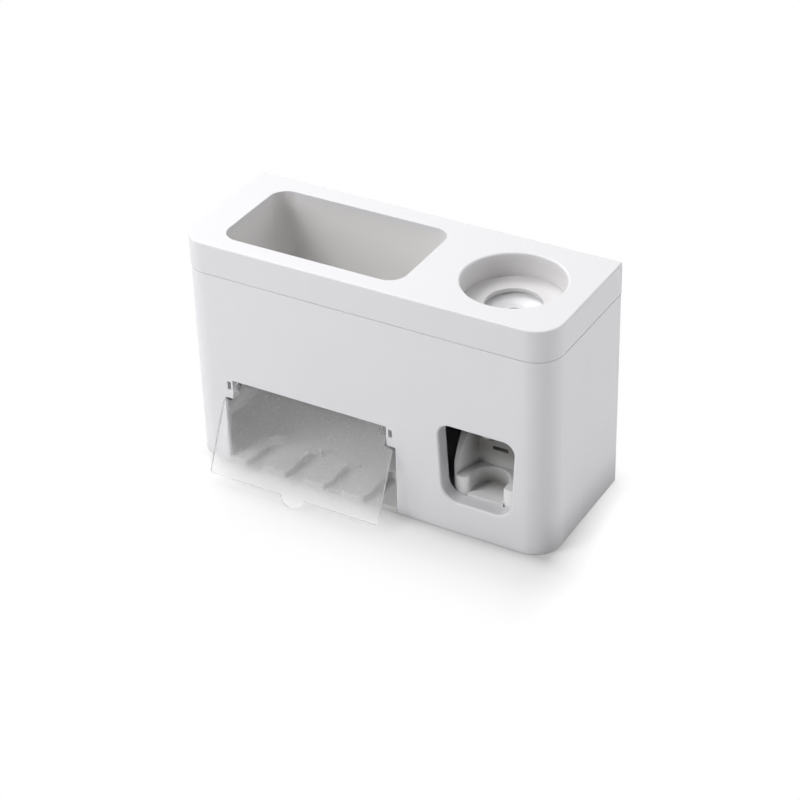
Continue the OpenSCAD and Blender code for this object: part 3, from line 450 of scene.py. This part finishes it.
def finished(piece, body, material, nodes, edge=0, steps=2):
    """Small radius on every edge left sharp, smooth shading, finish, body and slot."""
    open_all(piece)
    bpy.ops.mesh.remove_doubles(threshold=0.000003)
    bpy.ops.mesh.dissolve_limited(angle_limit=math.radians(0.2))
    bpy.ops.object.mode_set(mode="OBJECT")
    if edge:
        step = piece.modifiers.new("edges", "BEVEL")
        step.limit_method, step.angle_limit = "ANGLE", math.radians(38)
        step.width, step.segments, step.use_clamp_overlap = edge * MM, steps, True
        bpy.ops.object.modifier_apply(modifier=step.name)
        open_all(piece)
        bpy.ops.mesh.delete_loose()
        bpy.ops.object.mode_set(mode="OBJECT")
    bpy.ops.object.shade_smooth_by_angle(angle=math.radians(46))
    shading = piece.modifiers.new("shading", "WEIGHTED_NORMAL")
    shading.keep_sharp, shading.weight = True, 80
    bpy.ops.object.modifier_apply(modifier=shading.name)
    piece.data.materials.clear()
    piece.data.materials.append(material)
    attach(piece, body)
    if nodes:
        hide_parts(*nodes)


front_case = halve(case_ring("front_case"), True)
weld(front_case, block("divider", divider_x, (-inside_y, 0.3), (0, divider_top)))
weld(front_case, window_slab("collar", collar_wall, (-inside_y, collar_back)))
for lug_x in ((lug_ends[0], bay_x[0]), (bay_x[1], lug_ends[1])):
    weld(front_case, block("lug", lug_x, (-inside_y, lug_back), (lug_foot, lug_top)))
for post_x, post_z in post_places:
    post = rod("post", boss_radius, (post_x, -3, post_z), 88, "Y", 40)
    weld(front_case, combine(post, plan_slab("inside", -1.2, (0, 142)), "INTERSECT"))
    carve(front_case, rod("pilot", pilot_radius, (post_x, 33, post_z), 18, "Y", 24))
for screw_x, screw_y in comb_screw_places + cover_screw_places:
    if screw_y < seam_y:
        add_base_boss(front_case, screw_x, screw_y)
carve(front_case, window_slab("window", 0, (before_case, -38)))
carve(front_case, block("bay", bay_x, (before_case, bay_back), (-1, lug_top)))
carve(front_case, block("bay_foot", lug_ends, (before_case, bay_back), (-1, lug_foot)))
for socket_x in (-100.25, 19.55):
    carve(front_case, rod("socket", pin_socket_radius, (socket_x, hinge_y, hinge_z), 4.4, "X", 32))
for gap_x in ((-102.3, -99.6), (18.9, 21.6)):
    carve(front_case, block("pin_window", gap_x, (before_case, hinge_y), (hinge_z - 3, hinge_z + 3)))
soften(front_case, lambda x, y, z: near(y, -half_depth) and 52 < x < 110 and 20 < z < 82, 1.7, 6)
finished(front_case, "case", shell_plastic.material, ["front_shell"], 0.35)

# Back half of the case, in the same satin white plastic. Four screws run through its sunk
# seats into the front half's posts, two tongues slip inside the front half, and two
# keyholes let it drop on to screws in the wall.
bracket_places = [(x, z) for x in (62.3, 102.3) for z in (36, 100)]
tongue_inside, tongue_z, sunk_depth, head_seat_y = 128, (6, 135.1), 5.2, 45.3


def on_side(side, inner, outer):
    """Two places on an axis, counted from the middle towards one side."""
    return sorted((side * inner, side * outer))


back_case = halve(case_ring("back_case"), False)
weld(back_case, block("divider", divider_x, (seam_y, inside_y), (0, divider_top)))
for side in (-1, 1):
    weld(back_case, block("tongue_root", on_side(side, tongue_inside, 130.75), (seam_y, 4.6), tongue_z))
    weld(back_case, block("tongue", on_side(side, tongue_inside, 129.2), (-3.4, 1.6), tongue_z))
    for seat_x, seat_z in post_places:
        if seat_x * side > 0:
            weld(back_case, rod("seat", 6, (seat_x, 44.6, seat_z), 7.2, "Y", 48))
            carve(back_case, rod("hole", hole_radius, (seat_x, 45.5, seat_z), 12, "Y", 32))
            sunk_middle = (seat_x, head_seat_y + sunk_depth / 2, seat_z)
            carve(back_case, rod("sunk", sunk_radius, sunk_middle, sunk_depth, "Y", 50))
for boss_x, boss_z in bracket_places:
    weld(back_case, rod("boss", boss_radius, (boss_x, 40.45, boss_z), 15.5, "Y", 40))
    carve(back_case, rod("pilot", pilot_radius, (boss_x, 38.45, boss_z), 13.5, "Y", 24))
for screw_x, screw_y in comb_screw_places + cover_screw_places:
    if screw_y > seam_y:
        add_base_boss(back_case, screw_x, screw_y)
keyhole_foot, keyhole_top, keyhole_slot = 120, 129, 2.3
for keyhole_x in (-90, 90):
    keyhole = rod("keyhole", 5, (keyhole_x, 48.5, keyhole_foot), 5, "Y", 64)
    weld(keyhole, rod("slot_end", keyhole_slot, (keyhole_x, 48.5, keyhole_top), 5, "Y", 48))
    neck_x = (keyhole_x - keyhole_slot, keyhole_x + keyhole_slot)
    weld(keyhole, block("neck", neck_x, (46, 51), (keyhole_foot, keyhole_top)))
    carve(back_case, keyhole)
finished(back_case, "case", shell_plastic.material, ["back_shell"], 0.3)

# Storage tray that lifts off for washing, in satin white plastic. Its band has a rounded
# top edge, the deep well and the cup well hang from its plate, and a rim inside drops into
# the case. Its finish has painted shade inside the cup well, and a warmer tint inside the
# wells that stands for painted warm bounce light.
tray_top, plate_foot, rib_top, cut_top = 164.4, 161.8, 161.9, 161.7
inside_fit = case_wall + 0.3
well_x, well_y, well_floor, well_wall, well_corner = (-108.7, 21.3), (-36.5, 35.5), 78, 2.2, 12
cup_x, cup_radius, cup_floor, tube_radius = 82.3, 33, 147.7, 18.3
cup_wall, cup_depth = 2.2, 17.3


def around(ends, gap):
    """Two places on an axis, moved apart by a gap at each end."""
    return ends[0] - gap, ends[1] + gap


def rounded_block(name, x, y, z, radius):
    """Block whose upright edges are rounded."""
    return soften(block(name, x, y, z), lambda *corner: True, radius, 12, "Z")


def drawn(name, corners, filled=False):
    """New piece in the shape of a closed outline, as loose edges or filled with one face."""
    count = len(corners)
    loop = [] if filled else [(i, (i + 1) % count) for i in range(count)]
    mesh = bpy.data.meshes.new(name)
    mesh.from_pydata(corners, loop, [range(count)] if filled else [])
    piece = bpy.data.objects.new(name, mesh)
    bpy.context.collection.objects.link(piece)
    return piece


def spun(name, outline, middle_x=0, sides=128):
    """Round piece spun from a closed outline of radius and height."""
    piece = drawn(name, [(radius * MM, 0, height * MM) for radius, height in outline])
    open_all(piece)
    bpy.ops.mesh.spin(steps=sides, angle=2 * math.pi, center=(0, 0, 0), axis=(0, 0, 1))
    bpy.ops.mesh.select_all(action="SELECT")
    bpy.ops.mesh.remove_doubles(threshold=0.000002)
    bpy.ops.mesh.normals_make_consistent(inside=False)
    bpy.ops.object.mode_set(mode="OBJECT")
    piece.location = (middle_x * MM, 0, 0)
    return settle(piece)


def at_radius(x, y, radius):
    """Whether a place lies on a circle round the cup well's axis."""
    return near(math.hypot(x - cup_x, y), radius)


tray = plan_slab("storage_tray", 0.2, (tray_foot, tray_top))
soften(tray, lambda x, y, z: near(z, tray_top), 1.1, 5)
carve(tray, plan_slab("hollow", -case_wall, (141, plate_foot)))
weld(tray, carve(plan_slab("rim", -inside_fit, (138.7, rib_top)), plan_slab("cut", -4.3, (138, cut_top))))
weld(tray, carve(plan_slab("web", -1.2, (tray_foot, rib_top)), plan_slab("cut", -3.5, (142, cut_top))))
weld(tray, rounded_block(
    "well_outside", around(well_x, well_wall), around(well_y, well_wall),
    (well_floor - well_wall, 162.8), well_corner + well_wall,
))
weld(tray, rod("cup_outside", cup_radius + cup_wall, (cup_x, 0, 154.15), cup_depth, "Z", 96))
well_cut = rounded_block("well_cut", well_x, well_y, (well_floor, 166), well_corner)
carve(tray, soften(well_cut, lambda x, y, z: near(z, well_floor), 2.5))
cup_outline = [(0, 166), (0, cup_floor), (18, cup_floor), (32.2, 148.2), (32.2, 147.8)]
cup_outline += [(cup_radius, 147.8), (cup_radius, 166)]
carve(tray, spun("cup_cut", cup_outline, cup_x))
carve(tray, rod("tube_hole", tube_radius, (cup_x, 0, 147), 6, "Z", 96))
soften(tray, lambda x, y, z: near(z, tray_top) and -109 < x < 22 and -37 < y < 36, 1.2)
soften(tray, lambda x, y, z: near(z, tray_top) and at_radius(x, y, cup_radius), 1.5, 5)
soften(tray, lambda x, y, z: 147 < z < 148.4 and at_radius(x, y, tube_radius), 1.5)
tray_plastic = Moulded("satin_white_tray", 0.4)
from_cup = tray_plastic.vector("DISTANCE", tray_plastic.place((1, 1, 0)), (cup_x * MM, 0, 0), "Value")
in_cup = tray_plastic.rise(from_cup, 0.0345, 0.0325)
below_rim = tray_plastic.rise(tray_plastic.along("Z"), 0.1635, 0.158)
inside = tray_plastic.rise(tray_plastic.outside_of(0.12, 0.044), 0.004, 0.001, "LINEAR")
# Painted warm bounce light: the walls turn warmer inside the wells, below the rim.
walls_painted_warm = tray_plastic.blend(
    inside * below_rim * 0.9 + tray_plastic.cloud * 0.1,
    (0.7, 0.695, 0.716), (0.722, 0.713, 0.708),
)
# Painted shade: the cup well is darker below its rim.
tray_plastic.surface(Base_Color=tray_plastic.blend(
    in_cup * below_rim * 0.85 + tray_plastic.spark * 0.05, walls_painted_warm, (0.625, 0.616, 0.616)
))
finished(tray, "tray", tray_plastic.material, ["top_tray"], 0.3)

# Comb plate that four brushes hang in, in satin plastic whose grey is painted shade for the
# inside of the bay. It closes the bay from below, held by four screws, and each slot has a
# flared mouth in front and a raised rim round its end.
comb_top, sill_back, slot_rim_radius, base_seat_z, base_sunk_depth = 4.5, -44.9, 5.85, 2.2, 3.2
slot_end_y, slot_half, flare_half, flare_y, beyond_front = -22.85, 4.25, 6.5, -43.5, -52
slot_places = (-85.05, -55.25, -25.45, 4.35)


def plain_plastic(name, dark, light, rough):
    """Moulded plastic whose tone drifts between two close shades."""
    plastic = Moulded(name, rough)
    tone = plastic.blend(plastic.cloud * 0.7 + plastic.spark * 0.3, dark, light)
    plastic.surface(Base_Color=tone)
    return plastic.material


def fillet(middle, radius, start, end, steps=5):
    """Points of a round corner in an outline, between two angles in degrees."""
    turns = (math.radians(start + (end - start) * i / steps) for i in range(steps + 1))
    return [(middle[0] + radius * math.cos(t), middle[1] + radius * math.sin(t)) for t in turns]


def plate(name, points, low, high, axis="Z"):
    """Flat plate with an outline, between two places along an axis."""
    def corner(a, b, place):
        spot = [a, b]
        spot.insert("XYZ".index(axis), place)
        return Vector(spot) * MM

    piece = drawn(name, [corner(a, b, low) for a, b in points], filled=True)
    open_all(piece)
    bpy.ops.mesh.extrude_region_move(TRANSFORM_OT_translate={"value": corner(0, 0, high - low)})
    bpy.ops.mesh.select_all(action="SELECT")
    bpy.ops.mesh.normals_make_consistent(inside=False)
    bpy.ops.object.mode_set(mode="OBJECT")
    return settle(piece)


def screw_seat(piece, x, y):
    """Hole for a screw from below, with its head sunk."""
    carve(piece, rod("hole", hole_radius, (x, y, 2), 7, "Z", 32))
    sunk_middle = (x, y, base_seat_z - base_sunk_depth / 2)
    carve(piece, rod("sunk", sunk_radius, sunk_middle, base_sunk_depth, "Z", 48))


comb = plan_slab("hanging_comb", -inside_fit, (0, comb_top))
carve(comb, block("cut", (30.1, 140), (-60, 60), (-1, 6)))
weld(comb, block("sill", (-104.3, 23.6), (-half_depth, sill_back), (0, comb_top)))
for slot_x in slot_places:
    slot_rim = rod("rim", slot_rim_radius, (slot_x, slot_end_y, 4.75), 5.5, "Z", 64)
    weld(comb, carve(slot_rim, block("cut", (slot_x - 9, slot_x + 9), (-31, slot_end_y), (2, 9))))
for slot_x in slot_places:
    slot_side = [(slot_half, flare_y), (flare_half, -half_depth), (flare_half, beyond_front)]
    slot = fillet((slot_x, slot_end_y), slot_half, 0, 180, 32)
    slot += [(slot_x - x, y) for x, y in slot_side]
    slot += [(slot_x + x, y) for x, y in reversed(slot_side)]
    carve(comb, plate("slot", slot, -2, 10))
for screw_x, screw_y in comb_screw_places:
    screw_seat(comb, screw_x, screw_y)
# Painted shade: the comb is coloured grey, darker than the case, for the shade inside the bay.
comb_shade_grey = plain_plastic("satin_grey_comb", (0.54, 0.535, 0.53), (0.58, 0.575, 0.57), 0.44)
finished(comb, "case", comb_shade_grey, ["brush_comb"], 0.45, 3)

# Cover that closes the case below the pump, in the case's satin white plastic. Four screws
# through thicker pads hold it to the case's bosses.
cover_top = 2.5
cover = plan_slab("foot_cover", -inside_fit, (0, cover_top))
carve(cover, block("cut", (-140, 32.9), (-60, 60), (-1, 6)))
for screw_x, screw_y in cover_screw_places:
    pad = rod("pad", boss_radius, (screw_x, screw_y, 2.75), 3.5, "Z", 40)
    weld(cover, combine(pad, plan_slab("inside", -2.9, (-1, 6)), "INTERSECT"))
for screw_x, screw_y in cover_screw_places:
    screw_seat(cover, screw_x, screw_y)
finished(cover, "case", shell_plastic.material, ["base_cover"], 0.3)

# Clear flap over the brush bay, moulded in polystyrene with two ears whose pins turn in
# the lugs. A round finger tab stands out from its lower edge. It is drawn hanging down,
# turned to its rest and has a painted highlight on its side edges, hazy patches and flecks
# of dust. It is made more opaque towards its right, and near its foot it has fewer flecks
# and is painted lighter.
flap_rest, flap_thickness, flap_corner = math.radians(26), 2, 1.5
ear_x, ear_radius, pin_x, pin_radius = 54.95, 3.6, 58.85, 1.4
flap_side = [(-53, 3), (-53, 0), (-56.95, 0)] + fillet((-58.45, -9.4), flap_corner, 0, -90, 4)
flap_side += fillet((-61.95, -12.4), flap_corner, 90, 180)
flap_side += fillet((-61.95, -59.5), flap_corner, 180, 270)
finger_tab = fillet((0, -59.07), 8.8, 192.67, 347.33, 24)
flap_outline = flap_side + finger_tab + [(-x, y) for x, y in reversed(flap_side)]
flap = plate("clear_flap", flap_outline, -flap_thickness, 0, "Y")
for side in (-1, 1):
    weld(flap, rod("ear", ear_radius, (side * ear_x, 0, 0), 4, "X", 48))
    weld(flap, rod("pin", pin_radius, (side * pin_x, 0, 0), 5.8, "X", 32))
flap.rotation_euler = (-flap_rest, 0, 0)
flap.location = (sum(bay_x) / 2 * MM, hinge_y * MM, hinge_z * MM)
settle(flap)
clear = Finish("clear_styrene", IOR=1.12, Transmission_Weight=0.72)
# The flap is made more opaque, and so whiter, towards its right.
opaque_to_right = clear.rise(clear.along("X"), -0.085, 0.025, "LINEAR")
# Near its foot the flap has fewer flecks and is made more opaque, which is painted light on its lower band.
fewer_flecks_and_painted_light = clear.rise(clear.along("Z"), 0.03, 0.008, "LINEAR")
dust = clear.greys(clear.noise(900, 0), (0.73, 0), (0.8, 1)) * (1 - fewer_flecks_and_painted_light * 0.85)
clear.surface(
    Base_Color=clear.blend(dust, (0.9, 0.895, 0.9), (1, 1, 1)),
    Roughness=dust * 0.2 + clear.noise(120, 3) * 0.06 + 0.2,
    Alpha=dust * 0.15 + clear.noise(60, 3) * 0.06 + opaque_to_right * 0.08 + fewer_flecks_and_painted_light * 0.14 + 0.35,
)
# Painted highlight: the flap's side edges get a whiter, less clear finish.
edge_painted_highlight = Finish("bright_cut_edge", IOR=1.12, Transmission_Weight=0.3)
edge_painted_highlight.surface(
    Base_Color=edge_painted_highlight.blend(edge_painted_highlight.noise(200, 3), (0.93, 0.93, 0.94), (1, 1, 1)),
    Roughness=edge_painted_highlight.noise(500, 2) * 0.1 + 0.3,
    Alpha=edge_painted_highlight.noise(300, 2) * 0.1 + 0.75,
)
finished(flap, "flap", clear.material, ["dust_flap"], 0.25)
# The painted highlight goes on the flap's lower side faces.
flap.data.materials.append(edge_painted_highlight.material)
for face in flap.data.polygons:
    if abs(face.normal.x) > 0.9 and face.center.z < 0.06:
        face.material_index = 1

# Push lever that a brush head presses back, in satin white plastic that is painted lighter
# at its front and darker towards its back, above its shelf and in its recess, as painted
# light and painted shade. Its cheeks swing on the axle above and stand on a shelf, which has
# a round recess between two noses, and a slotted wall closes it behind.
shelf_foot, shelf_top, recess_floor, recess_radius, above_cheeks = 22.5, 36.3, 25, 12.1, 70
cheek_inner, cheek_outer, cheek_foot, lead_inner, before_lever = 20.3, 23, 33.2, 14, -45
wall_front, wall_back = -17.8, -15.3
axle_y, axle_z, bush_radius, cheek_radius = -10.5, 86, 3.4, 6.5
wall_half, wall_foot_half, wall_top, wall_corner = 15.3, 18.3, 53, 3
nose_x, nose_y = (recess_radius + cheek_outer) / 2, -36.6
nose_half, nose_reach, nose_overlap = (cheek_outer - recess_radius) / 2, 2.6, 0.05
half_turn = [math.radians(t) for t in range(0, 181, 10)]
nose = [(nose_x - nose_half * math.cos(t), nose_y - nose_reach * math.sin(t)) for t in half_turn]
shelf_side = fillet((0, -31.5), recess_radius, 90, 0, 20) + nose + [(cheek_outer, wall_back)]
lever = plate("brush_lever", [(-x, y) for x, y in shelf_side[:0:-1]] + shelf_side, shelf_foot, shelf_top)
soften(lever, lambda x, y, z: near(z, shelf_top) and y < -16, 1.1, clamp=False)
weld(lever, block("recess_floor", (-12.6, 12.6), (-39.2, -16), (shelf_foot, recess_floor)))
cheek_front = [(wall_back, cheek_foot)] + fillet((14.5, 27.5), 54, 173.96, 136.02, 24)
cheek_outline = cheek_front + fillet((axle_y, axle_z), cheek_radius, 180, -66.3, 24) + [(wall_back, 63)]
cheek_cut = [(21.8, before_lever), (21.8, -39.2), (wall_half, wall_front), (wall_half, -10)]
cheek_cut += [(5, -10), (5, before_lever)]
nose_cut = [(12, before_lever), (12, nose_y + nose_overlap)] + [(x, y + nose_overlap) for x, y in nose]
nose_cut += [(25, nose_y + nose_overlap), (25, before_lever)]
for side in (-1, 1):
    lead = plate("lead", cheek_front + [(wall_back, 65)], *on_side(side, lead_inner, cheek_inner), "X")
    carve(lead, block("under", on_side(side, 13, cheek_inner), (before_lever, -14), (20, shelf_top)))
    cheek = weld(plate("cheek", cheek_outline, *on_side(side, cheek_inner, cheek_outer), "X"), lead)
    carve(cheek, plate("cut", [(side * x, y) for x, y in cheek_cut], shelf_top, above_cheeks))
    carve(cheek, plate("nose_cut", [(side * x, y) for x, y in nose_cut], 20, above_cheeks))
    weld(lever, cheek)
wall_side = [(wall_foot_half, recess_floor), (wall_foot_half, wall_top), (wall_half, wall_top)]
wall_side += fillet((wall_half - wall_corner, wall_top), wall_corner, 0, 90)
wall_outline = [(-wall_foot_half, recess_floor)] + wall_side
wall_outline += [(-x, y) for x, y in wall_side[:0:-1]]
weld(lever, plate("back_wall", wall_outline, wall_front, wall_back, "Y"))
carve(lever, block("slot", (-5.4, 5.4), (-19, -14), (48.1, 50.9)))
carve(lever, rod("bush_bore", bush_radius, (0, axle_y, axle_z), 50, "X", 48))
lever.location = (cup_x * MM, 0, 0)
settle(lever)
lever_plastic = Moulded("satin_white_lever", 0.38)
painted_back_shade = lever_plastic.rise(lever_plastic.along("Y"), -0.037, -0.018)
above_shelf = lever_plastic.rise(lever_plastic.along("Z"), 0.0363, 0.05)
in_recess = lever_plastic.rise(lever_plastic.along("Z"), 0.0355, 0.026)
# Painted light and shade: light at the front, dark towards the back wall, above the shelf and low in the
# recess.
lever_plastic.surface(Base_Color=lever_plastic.blend(
    painted_back_shade * (above_shelf * 0.4 + in_recess * 0.3 + 0.55) + lever_plastic.cloud * 0.05,
    (0.79, 0.788, 0.79), (0.21, 0.205, 0.197),
))
finished(lever, "lever", lever_plastic.material, ["push_lever"], 0.4, 3)

# Pump parts behind the lever. Their CAD shapes stay and get a finish each: acetal coloured
# grey as painted shade, with the faint flow marks of moulding, dark silicone for the seal,
# the valves and the nozzle, and drawn steel for the axle and its clips.
# Painted shade: the acetal parts are coloured dark grey.
pump_grey_shade = plain_plastic("grey_acetal", (0.30, 0.30, 0.29), (0.36, 0.36, 0.35), 0.32)
silicone = Finish("dark_silicone", Specular_IOR_Level=0.3)
silicone.surface(
    Base_Color=silicone.blend(silicone.noise(60, 3), (0.10, 0.10, 0.095), (0.15, 0.15, 0.145)),
    Roughness=silicone.noise(240, 3) * 0.18 + 0.5,
)
silicone.bump(silicone.noise(1800, 1), 0.00001)
steel = Finish("drawn_steel", Metallic=1.0)
steel.surface(
    Base_Color=steel.blend(steel.noise(40, 3), (0.50, 0.50, 0.49), (0.62, 0.62, 0.61)),
    Roughness=steel.noise(900, 3) * 0.2 + 0.22,
)
steel.bump(steel.noise(2400, 2), 0.000008)


def refinish(nodes, material):
    """Gives CAD nodes whose shapes stay a better finish."""
    for node in nodes.split():
        for part_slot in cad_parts[node].material_slots:
            part_slot.material = material


refinish("lever_bushes pump_bracket pump_body cylinder_cap plunger channel_plug", pump_grey_shade)
refinish("plunger_seal intake_valve outlet_valve outlet_nozzle", silicone.material)
refinish("lever_axle axle_clips", steel.material)

# Dished inlet under the cup well, turned in pale plastic. A tube's neck is pressed into
# its sleeve, the paste runs down to the pump through it, and its gasket, which keeps its
# CAD shape, gets the same finish.
dish_outline = [(8.05, 113.6), (10.55, 113.6), (10.55, 123.1), (12, 125.6), (12, 138), (13.4, 139.2)]
dish_outline += [(21.4, 142.2), (22, 142.8), (22, 144.6), (21.7, 145), (20.3, 145), (20, 144.6)]
dish_outline += [(20, 143.8), (19.4, 143.3), (10.2, 140.8), (9.5, 140.2), (9.5, 127.6), (4, 127.6)]
dish_outline += [(4, 125.6), (8.05, 125.6)]
dish = spun("inlet_dish", dish_outline, cup_x)
dish_finish = plain_plastic("pale_dish", (0.69, 0.688, 0.70), (0.73, 0.728, 0.74), 0.36)
finished(dish, "case", dish_finish, ["inlet_cup"])
refinish("inlet_gasket", dish_finish)

# Return spring in the pump, wound from round steel wire as one coil.
coil_start, coil_end, coil_radius, wire_radius, coil_turns = -10.8, -1.5, 5.2, 0.45, 4
pump_z = 51.7
wire = fillet((coil_radius, 0), wire_radius, 0, 330, 11)
coil = drawn("return_coil", [(radius * MM, 0, height * MM) for radius, height in wire])
alone(coil)
winding = coil.modifiers.new("winding", "SCREW")
winding.axis, winding.iterations, winding.steps = "Z", coil_turns, 40
winding.screw_offset = (coil_end - coil_start) / coil_turns * MM
bpy.ops.object.modifier_apply(modifier=winding.name)
open_all(coil)
bpy.ops.mesh.fill_holes(sides=0)
bpy.ops.mesh.normals_make_consistent(inside=False)
bpy.ops.object.mode_set(mode="OBJECT")
coil.rotation_euler = (-math.pi / 2, 0, 0)
coil.location = (cup_x * MM, coil_start * MM, pump_z * MM)
settle(coil)
finished(coil, "case", steel.material, ["return_spring"])
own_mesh(coil)


# Steel screws with domed heads, cross recesses and rings for their threads. One of each
# size is turned and cut, then copied to its places.
def turned_screw(name, length, radius, head_radius, head_height):
    """Screw that stands on its tip, with the underside of its head at the origin."""
    core, pitch = radius * 0.78, 0.8 * radius / 1.5
    outline = [(0, -length), (radius * 0.5, -length)]
    ring = 1 - length
    while ring < -1.2:
        outline += [(core, ring), (radius, ring + pitch * 0.5), (core, ring + pitch)]
        ring += pitch * 1.02
    outline += [(radius * 0.9, -0.9), (radius * 0.9, 0), (head_radius * 0.96, 0), (head_radius, 0.15)]
    dome = ((1, 0.45), (0.93, 0.68), (0.78, 0.86), (0.5, 0.97), (0, 1))
    outline += [(head_radius * out, head_height * up) for out, up in dome]
    screw = spun(name, outline, sides=28)
    arm, half = head_radius * 0.58, head_radius * 0.12
    recess_z = (head_height * 0.42, head_height + 1)
    cross = block("cross", (-arm, arm), (-half, half), recess_z)
    return carve(screw, weld(cross, block("cross", (-half, half), (-arm, arm), recess_z)))


HEAD_BACK, HEAD_FRONT, HEAD_DOWN = (-math.pi / 2, 0, 0), (math.pi / 2, 0, 0), (math.pi, 0, 0)
long_screw = turned_screw("long_screw", 19, 1.5, 3, 1.8)
base_screw = turned_screw("base_screw", 9, 1.5, 3, 1.8)
bracket_screw = turned_screw("bracket_screw", 12, 1.5, 3, 1.8)
pump_screw = turned_screw("pump_screw", 5.2, 1, 2, 1.2)
bracket_seat_y, pump_seat_y = 29.7, 27.2
pump_screw_places = [(cup_x + x, pump_seat_y, z) for x in (-12.5, 12.5) for z in (40, 90)]
for model, node, turn, places in (
    (long_screw, "shell_screws", HEAD_BACK, [(x, head_seat_y, z) for x, z in post_places]),
    (base_screw, "comb_screws", HEAD_DOWN, [(x, y, base_seat_z) for x, y in comb_screw_places]),
    (base_screw, "cover_screws", HEAD_DOWN, [(x, y, base_seat_z) for x, y in cover_screw_places]),
    (bracket_screw, "bracket_screws", HEAD_FRONT, [(x, bracket_seat_y, z) for x, z in bracket_places]),
    (pump_screw, "pump_screws", HEAD_FRONT, pump_screw_places),
):
    for number, place in enumerate(places):
        screw = model.copy()
        screw.data = model.data.copy()
        screw.name = f"{model.name}_{node[0]}{number + 1}"
        bpy.context.collection.objects.link(screw)
        screw.rotation_euler, screw.location = turn, [a * MM for a in place]
        settle(screw)
        finished(screw, "case", steel.material, [node] if number == 0 else [])
for model in (long_screw, base_screw, bracket_screw, pump_screw):
    bpy.data.objects.remove(model)
